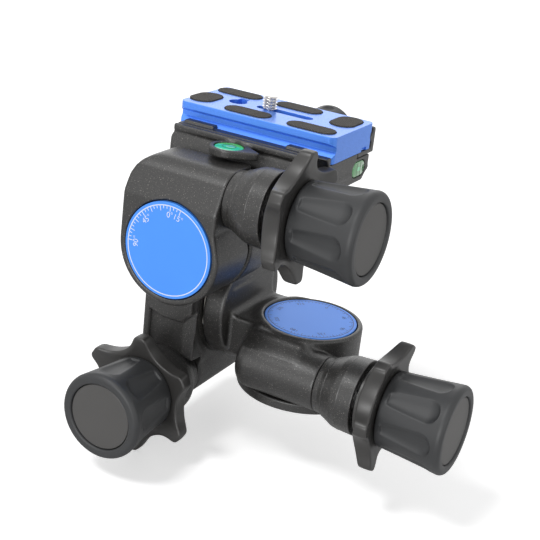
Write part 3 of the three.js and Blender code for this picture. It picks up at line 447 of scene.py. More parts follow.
def outlineDistance(u, v, points):
    nearest = np.full(np.broadcast(u, v).shape, 1e6)
    inside = np.zeros(nearest.shape, bool)
    for (ax, ay), (bx, by) in zip(points, points[1:] + points[:1]):
        ex, ey = bx - ax, by - ay
        share = np.clip(((u - ax) * ex + (v - ay) * ey) / (ex * ex + ey * ey), 0, 1)
        nearest = np.minimum(nearest, np.hypot(u - ax - share * ex, v - ay - share * ey))
        if ey:
            inside ^= ((ay > v) != (by > v)) & (u < ex * (v - ay) / ey + ax)
    return np.where(inside, -nearest, nearest)


castSettings = {"cell": 0.5, "share": 0.45, "margin": 4.0}


class Casting:
    def __init__(self, node, cell=castSettings["cell"]):
        low, high = boxOf(node)
        low = [c - castSettings["margin"] for c in low]
        high = [c + castSettings["margin"] for c in high]
        self.node = node
        self.low = np.array(low, float)
        self.cell = cell
        counts = [int((b - a) / cell) + 2 for a, b in zip(low, high)]
        grids = np.ogrid[tuple(slice(0, n) for n in counts)]
        self.grid = {axis: g * cell + a for axis, g, a in zip("xyz", grids, low)}
        self.field = np.full(counts, 1e3)

    def across(self, axis):
        return [self.grid[name] for name in "xyz" if name != axis]

    def closed(self, side, axis, start, end, edge):
        ends = np.abs(self.grid[axis] - (start + end) / 2) - (end - start) / 2
        a, b = side + edge, ends + edge
        return np.hypot(np.maximum(a, 0), np.maximum(b, 0)) + np.minimum(np.maximum(a, b), 0) - edge

    def rod(self, axis, centre, radius, start, end, edge=0.0):
        u, v = self.across(axis)
        side = np.hypot(u - centre[0], v - centre[1]) - radius
        return self.closed(side, axis, start, end, edge)

    def slab(self, axis, outline, start, end, edge=0.0):
        u, v = self.across(axis)
        return self.closed(outlineDistance(u, v, outline), axis, start, end, edge)

    def add(self, shape, blend=0.0):
        self.field = softMin(self.field, shape, blend)

    def cut(self, shape, blend=0.0):
        self.field = -softMin(-self.field, shape, blend)

    def keep(self, shape, blend=0.0):
        self.field = -softMin(-self.field, -shape, blend)

    def skin(self):
        band = 3 * self.cell
        grid = openvdb.FloatGrid(band)
        grid.copyFromArray(np.clip(self.field, -band, band).astype(np.float32))
        points, triangles, quads = grid.convertToPolygons(0.0, 0.0)
        faces = [tuple(face) for face in triangles.tolist()] + [tuple(face) for face in quads.tolist()]
        return points * self.cell + self.low, faces

    def place(self, body, keepShare=castSettings["share"]):
        piece = addMesh(self.node + "_look", self.skin())
        work = piece.modifiers.new("lighten", "DECIMATE")
        work.ratio = keepShare
        settle(piece)
        dress(piece, "casting", body, [self.node], 60)


# Lines and seats shared by the castings, read from the frame
def lineOf(node, along):
    low, high = boxOf(node)
    middle = (low + high) / 2
    return [middle["xyz".index(name)] for name in "xyz" if name != along]


panTube = lineOf("pan_release_ring", "x")
tiltTube = lineOf("tilt_release_ring", "y")
rollTube = lineOf("roll_release_ring", "x")
tiltAxis = lineOf("tilt_cover", "x")
rollAxis = lineOf("roll_dial", "y")

tubes = {"radius": 12.2, "bore": 10.4, "dome": 3.5, "back": 23.5, "end": 21.0, "boreBack": 16.3}
dialSeat = {"rim": 23.4, "recess": 20.95, "depth": 2.2, "edge": 1.4, "well": 18.5, "bearing": 12.5}
dialFace = {"pan": 32.0, "roll": -57.4}
axleSocket = 8.2
ringRoom = 17.1  # round a collar's mouth
far = 60  # past every face of one casting
over = 3  # how far a cut runs past the face it opens


def panCasting():
    s = {"bottom": 6.0, "earRadius": 25.4, "earFrom": -40.3, "earTo": -30.0, "webHalf": 18.5,
         "webFront": -12.0, "relief": 4.9, "blend": 4.5, "tubeBlend": 1.6, "dome": 6.0, "back": -18.6,
         "shoulderTo": 13.0, "shoulderEdge": 5.0, "shoulderRear": -10.0, "mouthSide": -21.5,
         "wellFloor": 10.7, "low": -20}
    c = Casting("pan_housing")
    face = dialFace["pan"]
    y, z = panTube
    shoulder = rounded([
        (s["shoulderRear"], z - 3), (s["shoulderRear"], face - 0.5), (y - 0.6, face - 0.5, 5),
        (y - 8.2, z + 8.7), (y - 9, z - 3),
    ])
    c.add(c.slab("x", shoulder, s["back"] + 1, s["shoulderTo"], s["shoulderEdge"]))
    c.add(c.rod("x", panTube, tubes["radius"], s["back"], tubes["end"] + 9, s["dome"]), 1.5)
    c.add(c.rod("x", panTube, tubes["radius"], 0, tubes["end"] + over))
    c.add(c.rod("z", (0, 0), dialSeat["rim"], s["bottom"], face, dialSeat["edge"]), s["tubeBlend"])
    c.cut(c.slab("x", rect(-far, s["mouthSide"], s["low"], far), tubes["end"], far), 0.4)
    web = rounded([
        (s["earTo"] - 2, s["bottom"]), (s["webFront"], s["bottom"]), (s["webFront"], face - 1),
        (s["earTo"], face - 1, 4), (s["earTo"], face + 10), (s["earTo"] - 2, face + 10),
    ])
    web = c.slab("y", web, tiltAxis[0] - s["webHalf"], tiltAxis[0] + s["webHalf"], 1.5)
    c.add(np.maximum(web, c.rod("x", tiltAxis, s["earRadius"], s["earFrom"], -8)), s["blend"])
    c.add(c.rod("x", tiltAxis, s["earRadius"], s["earFrom"], s["earTo"], dialSeat["edge"]), 2.0)
    c.cut(c.slab("x", rect(-far, far, s["low"], s["relief"]), -far, far), 0.8)
    c.cut(c.rod("z", (0, 0), dialSeat["recess"], face - dialSeat["depth"], face + over), 0.8)
    c.cut(c.rod("z", (0, 0), dialSeat["well"], s["wellFloor"], face))
    c.cut(c.rod("z", (0, 0), dialSeat["bearing"], 0, 12))
    c.cut(c.rod("x", panTube, tubes["bore"], -tubes["boreBack"], tubes["end"] + over))
    c.cut(c.rod("x", tiltAxis, axleSocket, s["earFrom"] - over, s["earFrom"] + 8))
    c.place("pan_stage")


def tiltCasting():
    s = {"face": -66.5, "inner": -41.0, "rim": 30.6, "edge": 1.6, "columnFront": -30.6, "columnEdge": 1.8,
         "hub": 24.3, "hubRear": -8.0, "back": 24.2, "ribFrom": -66.0, "ribTo": -41.4, "ribFront": -34.0,
         "ribTop": 42.5, "earRoom": 26.2, "webRoom": 20.5, "cover": 29.6, "coverDepth": 2.4, "well": 28.2,
         "floor": -48.2, "panelFloor": -31.8, "panelLeft": -63.6, "slopeFront": -29.6, "turnRoom": 45.0,
         "saddle": (-22.0, 20.0), "saddleTop": 15.7, "tubeTop": 7.5, "side": -90}
    c = Casting("tilt_housing")
    y, z = tiltAxis
    front = s["columnFront"]
    c.add(c.rod("x", tiltAxis, s["rim"], s["face"], s["inner"], s["edge"]))
    column = rounded([(*p, s["columnEdge"]) for p in rect(s["face"], s["inner"], front, 0)])
    c.add(c.slab("z", column, z, rollAxis[1]), 1.5)
    c.add(c.rod("y", rollAxis, s["hub"], front, s["hubRear"], 1.4), 3.0)
    # the roll stage turns past here
    c.cut(c.slab("z", rect(s["side"], 0, -far, front), s["turnRoom"], 120))
    rib = rounded([
        (-22, 5), (-30, 8, 3), (s["ribFront"], 14, 6), (s["ribFront"], s["ribTop"], 2), (-25, 48.5), (y, 40),
        (y, 5),
    ])
    c.add(c.slab("x", rib, s["ribFrom"], s["ribTo"], 1.2), 0.6)
    c.add(c.slab("x", rect(*s["saddle"], tiltTube[1], s["saddleTop"]), -64.7, -42.8, 2.0), 4.0)
    tubeFrom, tubeTo = y - tubes["end"], y + s["back"]
    c.add(c.rod("y", tiltTube, tubes["radius"], tubeFrom - 1.5, tubeTo, tubes["dome"]), 4.0)
    c.cut(c.slab("z", rect(s["side"], 0, tubeFrom - 30, tubeFrom), -40, s["tubeTop"]))
    # the front is set back around the rib: a strip at the left, a panel, and a slope at the right
    below = [(s["panelLeft"], 0), (-30, 0), (-30, 44), (-41.6, 31.5), (-45.6, 26.8), (-56.5, 26.6),
             (s["panelLeft"], 29.2)]
    kept = [(-75, 0), (-75, -36), (-63.2, -36), (-62.2, s["panelFloor"]), (-46, s["panelFloor"]),
            (-41.4, s["slopeFront"]), (-30, s["slopeFront"]), (-30, 0)]
    c.cut(np.maximum(c.slab("y", below, -45, -25), -c.slab("z", kept, -20, far)), 0.3)
    c.cut(c.rod("x", tiltAxis, s["earRoom"], s["inner"] - 0.35, -29.3), 0.6)
    c.cut(c.rod("x", tiltAxis, s["webRoom"], s["inner"], -16), 0.6)
    c.cut(c.rod("x", tiltAxis, s["cover"], s["face"] - over, s["face"] + s["coverDepth"]), 0.6)
    c.cut(c.rod("x", tiltAxis, s["well"], s["face"], s["floor"]))
    c.cut(c.rod("x", tiltAxis, dialSeat["bearing"], s["floor"] - 1, s["inner"] + 2))
    c.cut(c.rod("y", tiltTube, tubes["bore"], tubeFrom - over, y + tubes["boreBack"]))
    c.cut(c.rod("y", rollAxis, axleSocket, front - over, front + 8))
    c.place("tilt_stage")


def rollCasting():
    s = {"back": -31.4, "rim": 23.8, "corner": 12.0, "armRoom": 26.3, "platformTop": 98.0,
         "platformFrom": -60.0, "platformTo": -5.0, "shelf": 3.0, "arm": 14.0, "socket": 12.5, "notch": 11.6,
         "well": 21.3, "deep": 50}
    x, z = rollAxis
    tubeY, tubeZ = rollTube
    face, back, platform = dialFace["roll"], s["back"], s["platformTop"]
    c = Casting("roll_housing")
    left, right, top = x - tubes["back"], x + tubes["end"], tubeZ + tubes["radius"]
    arc = circle(s["rim"], np.linspace(math.pi, 2 * math.pi, 40), rollAxis)
    corner = rounded([(right, top), (left, top, s["corner"]), (left, z)], closed=False)[:-1]
    c.add(c.slab("y", [*corner, *arc, (right, z + s["notch"])], face, back, 1.4))
    # from the side, the front rounds over the tube and then falls straight
    front = circle(tubes["radius"], np.linspace(math.pi / 2, math.radians(144), 14), rollTube)
    fall = rounded([front[-1], (face + 0.4, tubeZ - 4, 4), (face, tubeZ - 12)], closed=False)[1:]
    low = z - s["deep"]
    side = [(back, low), (back, top + 1), (tubeY, top + 0.01), *front, *fall, (face - 1, low)]
    c.keep(c.slab("x", side, left - 5, right + 5), 1.0)
    start, end, shelf, under = s["platformFrom"], s["platformTo"], platform - s["shelf"], platform - s["arm"]
    shelf = [(start, shelf), (start, platform), (end, platform), (end, under), (x, under), (x, shelf)]
    arm = c.slab("y", shelf, back - 0.8, 0, 0.8)
    arm = np.maximum(arm, -c.rod("y", rollAxis, s["armRoom"], back, 2))
    arm = np.maximum(arm, -c.rod("x", rollTube, ringRoom, right + 0.45, 10))
    c.add(arm, 1.5)
    c.cut(c.rod("y", rollAxis, dialSeat["recess"], face - over, face + dialSeat["depth"]), 0.8)
    c.cut(c.rod("y", rollAxis, dialSeat["well"], face, face + s["well"]))
    c.cut(c.rod("y", rollAxis, s["socket"], face + 20, back + 2))
    c.cut(c.rod("x", rollTube, tubes["bore"], x - tubes["boreBack"], right + over))
    c.place("roll_stage")


panCasting()
tiltCasting()
rollCasting()
print("castings made")


# Foot, cover and bush

def foot():
    s = {"radius": 30.0, "height": 4.5, "edge": 0.9, "journal": 12.3, "bore": 8.3, "boreTop": 12.3, "step": 10.8,
         "neck": 9.8}
    top = lengthOf("base_flange", "z")
    profile = rounded([
        (0, s["boreTop"]), (s["bore"], s["boreTop"]), (s["bore"], 0, 0.3), (s["radius"], 0, s["edge"]),
        (s["radius"], s["height"], s["edge"]), (s["journal"], s["height"]), (s["journal"], s["step"]),
        (s["neck"], s["step"]), (s["neck"], top), (0, top),
    ], closed=False)
    standIn("base_flange", lathe(profile, 160), "foot", "base")


def tiltCover():
    s = {"radius": 29.3, "thickness": 2.1, "edge": 0.5, "groove": 24.0, "grooveWidth": 0.9, "dish": 22.0,
         "dishDepth": 0.5, "seat": -64.4}
    g, w, thick = s["groove"], s["grooveWidth"], s["thickness"]
    profile = rounded([
        (0, 0), (s["radius"], 0), (s["radius"], thick, s["edge"]), (g + w, thick, 0.2),
        (g + w / 2, thick - w / 2), (g, thick, 0.2), (s["dish"], thick, 0.3),
        (s["dish"] - 0.6, thick - s["dishDepth"], 0.3), (0, thick - s["dishDepth"]),
    ], closed=False)
    place = facing("-x", "z", (s["seat"], *tiltAxis))
    standIn("tilt_cover", moved(lathe(profile, 160), place), "casting", "tilt_stage")


def threadRings(s, stations, hand, radiusAt):
    # rings along a thread: radiusAt takes the share of the thread's height, 0 to 1, and the station
    angles = fullTurn(s["steps"])
    rings = []
    for z in stations:
        ring = []
        for k, a in enumerate(angles):
            rise = 1 - abs(2 * ((z / s["pitch"] + hand * k / s["steps"]) % 1) - 1)
            r = radiusAt(rise, z)
            ring.append((r * math.cos(a), r * math.sin(a), z))
        rings.append(ring)
    return rings


def bush():
    s = {"radius": 8.0, "height": 12.0, "minor": 4.0, "major": 4.76, "pitch": 1.5875, "steps": 48, "lead": 0.7}
    profile = rounded([
        (s["major"] + 0.2, 0), (s["radius"], 0, 0.3), (s["radius"], s["height"], 0.3), (s["minor"], s["height"]),
    ], closed=False)

    def radiusAt(rise, z):
        return s["minor"] + (s["major"] - s["minor"]) * rise

    angles = fullTurn(s["steps"])
    rings = [ringAt(r, z, angles) for r, z in profile]
    rings += threadRings(s, np.arange(s["height"] - 0.1, s["lead"], -s["pitch"] / 10), -1, radiusAt)
    rings.append(ringAt(s["major"] + 0.1, 0.2, angles))
    standIn("tripod_bush", loft(rings, True), "steel", "base", 20)


foot()
tiltCover()
bush()
print("foot, cover and bush made")


# Collars, release rings, grips and caps

def collar(stage, along, line, body):
    s = {"start": tubes["end"] + 0.3, "end": 40.5, "waist": 12.9, "shoulder": 16.2, "mouth": 16.5,
         "bore": 10.6, "pocket": 13.4, "land": 4.2, "crease": 12.4, "footRadius": 30.4, "footTop": 4.9}
    length = s["end"] - s["start"]
    profile = rounded([
        (s["bore"], 0), (tubes["radius"], 0, 0.35), (tubes["radius"] + 0.25, 2.4, 3), (s["waist"], 3.4, 4),
        (s["shoulder"] - 0.5, 9.4, 5), (s["shoulder"], s["crease"] - 0.1, 0.4),
        (s["shoulder"] - 0.06, s["crease"] + 0.25, 0.3), (s["mouth"] - 0.08, length - 1.2, 2),
        (s["mouth"], length, 0.45), (s["pocket"], length, 0.3), (s["pocket"], s["land"]),
        (s["bore"], s["land"]),
    ])
    if along == "x":
        place = facing("x", "z", (s["start"] + (rollAxis[0] if stage == "roll" else 0), *line))
    else:
        place = facing("-y", "z", (line[0], tiltAxis[0] - s["start"], line[1]))
    piece = addMesh(stage + "_collar_look", moved(lathe(profile, 128, True), place))
    if stage == "pan":
        carve(piece, [lathe(rect(0, s["footRadius"], -20, s["footTop"]), 96)])
    dress(piece, "casting", body, [stage + "_collar"], 40)


def releaseRing(stage, along, up, body):
    s = {"width": 9.5, "back": 2.3, "tip": 27.5, "valley": 20.2, "lobes": 6, "flatHalf": math.radians(6.0),
         "lean": 2.0, "thinTip": 1.4, "bore": 10.5, "edge": 0.8, "faceDish": 1.1, "perLobe": 40, "hub": 15.2,
         "seatRadius": 16.9, "crown": 0.12}
    half = math.pi / s["lobes"]
    # the valley is an arc through the shoulder of the flat and the lowest point between two lobes
    swing = half - s["flatHalf"]
    reach, aside = s["tip"] * math.cos(swing), s["tip"] * math.sin(swing)
    hollow = (reach ** 2 + aside ** 2 - s["valley"] ** 2) / (2 * (reach - s["valley"]))
    hollowRadius = hollow - s["valley"]

    def radiusAt(angle):
        turn = abs((angle + half) % (2 * half) - half)
        if turn <= s["flatHalf"]:
            return s["tip"] * math.cos(s["flatHalf"]) / math.cos(turn)
        off = half - turn
        return hollow * math.cos(off) - math.sqrt(hollowRadius ** 2 - (hollow * math.sin(off)) ** 2)

    angles = fullTurn(s["lobes"] * s["perLobe"])
    soft = np.array([radiusAt(angle) for angle in angles])
    for _ in range(3):
        soft = (np.roll(soft, 1) + 2 * soft + np.roll(soft, -1)) / 4
    rise = (soft - s["valley"]) / (s["tip"] - s["valley"])

    def ring(station, inset, share=1.0):
        thin = s["thinTip"] * (s["width"] - station) / (s["width"] - s["back"])
        made = []
        for k, angle in enumerate(angles):
            r = (soft[k] - inset) * share + s["seatRadius"] * (1 - share)
            z = station + (s["lean"] + thin) * rise[k] * share
            made.append((r * math.cos(angle), r * math.sin(angle), z))
        return made

    e, w, b = s["edge"], s["width"], s["back"]
    quarter = [math.radians(a) for a in (0, 22.5, 45, 67.5, 90)]
    inner = w - s["faceDish"] * 0.3
    stem = ((s["bore"], 0), (s["hub"], 0), (s["hub"], b), (s["seatRadius"], b))
    rings = [ringAt(r, z, angles) for r, z in stem]
    rings.append(ring(b, e + 1.2))
    rings += [ring(b + e * (1 - math.sin(a)), e * (1 - math.cos(a))) for a in reversed(quarter)]
    for share in (0.25, 0.4, 0.5, 0.6, 0.75):
        rings.append(ring(b + (w - b) * share, -s["crown"] * math.sin(math.pi * share)))
    rings += [ring(w - e * (1 - math.sin(a)), e * (1 - math.cos(a))) for a in quarter]
    rings += [ring(w - s["faceDish"] * share * 0.25, e + 0.9, 1 - share) for share in (0.0, 0.35, 0.7)]
    rings += [ringAt(s["seatRadius"], inner, angles), ringAt(s["bore"], inner, angles)]
    place = seatOf(stage + "_release_ring", along, up)
    standIn(stage + "_release_ring", moved(loft(rings, True), place), "ring", body, 38)


def gripShape(s):
    # a taper with scooped flutes: the grid follows the edges of each flute, so that they stay crisp
    flutes, inFlute, onLand = s["flutes"], 16, 5
    sector = math.pi / flutes
    length = s["length"]
    first, last = s["fluteFrom"] * length, s["fluteTo"] * length
    roundFrom = last - s["fluteRound"]

    def bodyRadius(v):
        return s["waist"] + (s["mouth"] - s["waist"]) * (v / length) ** s["taper"]

    def halfWidth(v):
        grow = np.clip((v - first) / (roundFrom - first), 0, 1) ** 0.8
        wide = s["widthFrom"] + (s["widthTo"] - s["widthFrom"]) * grow
        if v > roundFrom:
            wide *= math.sqrt(max(1 - ((v - roundFrom) / (last - roundFrom)) ** 2, 0.0016))
        return wide / bodyRadius(v)

    def depth(v):
        if v < first or v > last:
            return 0.0
        share = (v - first) / (last - first)
        closing = max(1 - max((v - roundFrom) / (last - roundFrom), 0) ** 2, 0) ** 0.5
        opening = min(1.0, (v - first) / s["runIn"])
        return opening * closing * (s["depth"] * (1 - share) + s["depthEnd"] * share)

    def ring(v, radius):
        wide = halfWidth(min(max(v, first), last))
        deep = depth(v)
        turns = [-sector + (sector - wide) * i / onLand for i in range(onLand)]
        turns += [-wide + 2 * wide * i / inFlute for i in range(inFlute)]
        turns += [wide + (sector - wide) * i / onLand for i in range(onLand)]
        made = []
        for flute in range(flutes):
            middle = 2 * math.pi * flute / flutes + s["turn"]
            for turn in turns:
                r = radius - deep * max(1 - abs(turn / wide) ** s["scoop"], 0)
                made.append((r * math.cos(middle + turn), r * math.sin(middle + turn), v))
        return made

    lip, base, recess = s["lip"], s["baseEdge"], s["recess"]
    rings = [ring(0, s["stem"]), ring(0, bodyRadius(0) - base)]
    for a in np.linspace(0.3, math.pi / 2, 5):
        rings.append(ring(base * (1 - math.cos(a)), bodyRadius(0) - base * (1 - math.sin(a))))
    stations = [base + (first - base) * 0.5]
    stations += [first + step for step in (-0.02, 0.02, 0.25, 0.5, 0.75)]
    stations += list(np.linspace(first + 1.2, roundFrom, 22))
    stations += list(roundFrom + (last - roundFrom) * np.sin(np.linspace(0.08, math.pi / 2, 12)))
    stations += [last + (length - lip - last) * share for share in (0.35, 0.7, 1.0)]
    rings += [ring(v, bodyRadius(v)) for v in stations]
    top = bodyRadius(length - lip)
    for a in np.linspace(0.2, math.pi / 2, 8):
        rings.append(ring(length - lip + lip * math.sin(a), top - lip * 0.75 * (1 - math.cos(a))))
    for down, radius in ((0, recess + 0.8), (0.12, recess + 0.3), (0.5, recess), (s["recessDepth"], recess),
                         (s["recessDepth"], s["stem"])):
        rings.append(ring(length - down, radius))
    return loft(rings, True)


knobSettings = {"length": 29.4, "waist": 16.5, "mouth": 19.4, "taper": 1.15, "flutes": 8, "fluteFrom": 0.09,
                "fluteTo": 0.86, "fluteRound": 5.0, "widthFrom": 2.6, "widthTo": 5.2, "depth": 0.9,
                "depthEnd": 1.9, "runIn": 0.35, "scoop": 2.4, "lip": 2.4, "baseEdge": 0.6, "recess": 14.8,
                "recessDepth": 4.1, "stem": 5.3, "turn": 0.0, "cap": 14.5}
clampKnobSettings = {**knobSettings, "length": 20.5, "waist": 10.6, "mouth": 12.0, "fluteRound": 3.0,
                     "widthFrom": 1.2, "widthTo": 3.2, "depth": 0.6, "depthEnd": 1.15, "lip": 1.6,
                     "baseEdge": 0.4, "recess": 8.9, "recessDepth": 2.5, "stem": 2.8, "cap": 8.6}


def knob(name, along, up, settings):
    grip, cap, body = name + "_grip", name + "_cap", name
    standIn(grip, moved(gripShape(settings), seatOf(grip, along, up)), "rubber", body, 50)
    radius, thick = settings["cap"], lengthOf(cap, along)
    profile = rounded([(0, 0), (radius, 0), (radius, thick, 0.5), (0, thick)], closed=False, steps=4)
    standIn(cap, moved(lathe(profile, 128), seatOf(cap, along)), "cap", body)


stages = {
    "pan": {"along": "x", "up": "y", "line": panTube, "turn": 0.07},
    "tilt": {"along": "-y", "up": "z", "line": tiltTube, "turn": 0.10},
    "roll": {"along": "x", "up": "z", "line": rollTube, "turn": 0.06},
}
for stage, s in stages.items():
    collar(stage, s["along"], s["line"], stage + "_stage")
    releaseRing(stage, s["along"], s["up"], stage + "_release")
    knob(stage + "_knob", s["along"], s["up"], {**knobSettings, "turn": s["turn"]})
knob("clamp_knob", "y", "z", clampKnobSettings)
print("collars, rings and knobs made")


# Dials with their scales

def dialDisc(stage, along, up, body):
    s = {"radius": 20.6, "thickness": 1.8, "boss": 8.0, "edge": 0.3}
    node = stage + "_dial"
    thick = lengthOf(node, along.strip("-"))
    under = thick - s["thickness"]
    profile = rounded([
        (0, 0), (s["boss"], 0), (s["boss"], under), (s["radius"], under), (s["radius"], thick, s["edge"]),
        (0, thick),
    ], closed=False)
    standIn(node, moved(lathe(profile, 160), seatOf(node, along, up)), "dial", body)


def label(text, size):
    # a flat text as a mesh, in its own plane
    font = bpy.data.curves.new("label", "FONT")
    font.body = text
    font.size = size
    font.offset = -0.006 * size
    font.align_x = "CENTER"
    font.align_y = "CENTER"
    holder = bpy.data.objects.new("label", font)
    bpy.context.scene.collection.objects.link(holder)
    graph = bpy.context.evaluated_depsgraph_get()
    mesh = bpy.data.meshes.new_from_object(holder.evaluated_get(graph))
    points = np.array([v.co for v in mesh.vertices])
    faces = [tuple(f.vertices) for f in mesh.polygons]
    bpy.data.objects.remove(holder)
    return points, faces


def scaleMarks(name, face, marks, labels, s, finish, body):
    # rim line, ticks and numbers, a hair above the dial
    line, rise, w = s["line"], s["rise"], s["tickWidth"] / 2
    shapes = [lathe(rect(line, line + s["lineWidth"], 0, rise), 160, True)]
    for angle, length in marks:
        bar = extrude(rect(line - length, line + 0.1, -w, w), 0, rise)
        shapes.append(moved(bar, Matrix.Rotation(math.radians(angle + 90), 4, "Z")))
    for angle, text in labels:
        turn = Matrix.Rotation(math.radians(angle), 4, "Z") @ shift(0, s["labelRadius"], rise)
        shapes.append(moved(label(text, s["size"]), turn))
    dress(addMesh(name, moved(together(shapes), face)), finish, body)


marksSettings = {"line": 19.0, "lineWidth": 0.4, "rise": 0.03, "tickWidth": 0.3, "labelRadius": 15.3,
                 "size": 3.5}
panMarksSettings = {**marksSettings, "size": 2.6, "labelRadius": 15.6, "lineWidth": 0.25, "tickWidth": 0.18}


def rollScale():
    marks = [(angle, 2.1 if angle % 15 == 0 else 1.2) for angle in range(-15, 91, 5)]
    labels = [(-15, "15°"), (0, "0°"), (45, "45°"), (90, "90°")]
    face = facing("-y", "x", (rollAxis[0], dialFace["roll"], rollAxis[1]))
    scaleMarks("roll_scale", face, marks, labels, marksSettings, "print", "tilt_stage")


def panScale():
    marks = [(angle, 1.7 if angle % 15 == 0 else 0.9) for angle in range(0, 360, 5)]
    labels = [(-angle, str(angle)) for angle in range(0, 360, 45)]
    face = facing("z", "x", (0, 0, dialFace["pan"]))
    scaleMarks("pan_scale", face, marks, labels, panMarksSettings, "engraving", "base")


dialDisc("pan", "z", "x", "base")
dialDisc("roll", "-y", "z", "tilt_stage")
rollScale()
panScale()
print("dials made")


# Clamp with its levels and jaw

clamp = {
    "left": -67.05, "right": 7.05, "bottom": 98.3, "floor": 107.9, "railTop": 111.2, "railOuter": -24.0,
    "rear": 22.6, "flare": 3.0, "shoulder": 4.2, "ledge": 2.0, "groove": 1.0, "near": -16.3, "step": 9.7,
    "stepFloor": 105.3, "nose": 11.0, "upperNose": 4.0, "noseStep": 2.6, "lipRise": 1.2,
    "lips": ((-62.5, -48.0), (-13.0, -4.0)), "endBottom": 94.5, "endLong": 11.7, "screwAt": (-24.0, 104.4),
    "screwRoom": 2.9, "screwFrom": -8.5, "lobeRoom": (28.3, -0.5, 12), "mouthFrom": -20.05, "cell": 0.35,
    "share": 0.35,
}
vial = {"at": (-32.8, -30.4), "top": 109.8, "under": 106.4, "boss": 8.2, "tail": 14.0, "tailRadius": 1.2,
        "radius": 6.0, "pocket": 6.3, "deep": 2.0}
endVial = {"y": 12.9, "z": 100.4, "halfLong": 6.0, "halfHigh": 3.3, "deep": 2.4, "play": 0.35}


def teardrop(radius, tail, tip):
    # a circle drawn out to a small round tip along +x
    lean = math.acos((radius - tip) / (tail - tip))
    big = circle(radius, np.linspace(lean, 2 * math.pi - lean, 48))
    return big + circle(tip, np.linspace(-lean, lean, 12), (tail - tip, 0))


def clampBody():
    s = clamp
    right, rear, floor, bottom = s["right"], s["rear"], s["floor"], s["bottom"]
    railTop, railOuter, groove = s["railTop"], s["railOuter"], s["railTop"] - s["groove"]
    ledge, outer = railOuter + s["ledge"], railOuter - s["flare"]
    section = rounded([
        (outer, bottom, 1), (railOuter - s["flare"] / 2, bottom + s["shoulder"], 3),
        (railOuter, floor - 1.6, 1.2), (railOuter + 0.5, floor - 0.6), (railOuter + 0.5, floor + 0.3),
        (railOuter, floor + 0.8, 0.4),
        (railOuter, railTop, 0.9), (ledge, railTop, 0.4), (ledge, groove), (ledge + s["groove"], groove),
        (ledge + s["groove"], railTop, 0.3), (-15.7, railTop, 0.3), (s["near"], 110.5), (s["near"], floor),
        (s["step"], floor), (s["step"], s["stepFloor"]), (rear, s["stepFloor"], 0.5), (rear, bottom, 1),
    ])
    c = Casting("clamp_body", s["cell"])
    c.add(c.slab("x", section, s["left"], right, 0.5))
    # the corner over the round level is rounder low down than at the rail
    levels = []
    for left, nose, start, end in ((s["left"], s["nose"], bottom - 8, 105.0),
                                   (s["left"] + s["noseStep"], s["upperNose"], 95, railTop + 5)):
        plan = [(right + 5, rear + 5), (left, rear + 5), (left, outer, nose), (right + 5, outer)]
        levels.append(c.slab("z", rounded(plan, steps=12), start, end))
    c.keep(softMin(*levels, 4.0), 0.8)
    lipTop = railTop + s["lipRise"]
    hook = rounded([(-18.9, railTop - 1), (-18.9, lipTop, 0.8), (-14.5, lipTop, 0.4), (-16.7, railTop - 1)])
    for start, end in s["lips"]:
        c.add(c.slab("x", hook, start, end, 0.4), 0.5)
    end = rounded([
        (-13, bottom + 2), (-13, s["endBottom"], 1.5), (rear - 5, s["endBottom"], 1.5), (rear, bottom + 1, 1.5),
        (rear, bottom + 2),
    ])
    c.add(c.slab("x", end, right - s["endLong"], right, 0.6), 0.8)
    drop = teardrop(vial["boss"], vial["tail"], vial["tailRadius"])
    boss = [(vial["at"][0] + x, vial["at"][1] + y) for x, y in drop]
    c.add(c.slab("z", boss, vial["under"], vial["top"], 0.6), 1.6)
    c.cut(c.rod("z", vial["at"], vial["pocket"], vial["top"] - vial["deep"], vial["top"] + 2), 0.4)
    c.cut(c.rod("x", rollTube, *s["lobeRoom"]), 1.0)
    c.cut(c.rod("x", rollTube, ringRoom, s["mouthFrom"], 2), 1.0)
    opening = stadium(endVial["halfLong"] + endVial["play"], endVial["halfHigh"] + endVial["play"])
    window = [(endVial["y"] + a, endVial["z"] + b) for a, b in opening]
    c.cut(c.slab("x", window, right - endVial["deep"], right + over), 0.4)
    c.cut(c.rod("y", s["screwAt"], s["screwRoom"], s["screwFrom"], rear + over))
    c.place("roll_stage", s["share"])


def clampJaw():
    s = clamp
    floor = s["floor"]
    section = rounded([
        (10, 105.6), (26, 105.6, 0.6), (26, 117, 1.5), (22.9, 117, 0.6), (22.9, 114.5, 0.4), (20.4, 112.8, 0.3),
        (22.7, 110.5), (22.7, floor), (10, floor),
    ])
    apron = rounded([(-38, 22.9, 0.5), (-10, 22.9, 0.5), (-10, 26, 1.2), (-38, 26, 1.2)])
    c = Casting("clamp_jaw", s["cell"])
    c.add(c.slab("x", section, s["left"] + 1, s["right"], 0.5))
    c.add(c.slab("z", apron, 97, 106.5, 0.6), 0.8)
    c.cut(c.rod("y", s["screwAt"], s["screwRoom"], 10, 30), 0.3)
    c.place("clamp_jaw", s["share"])


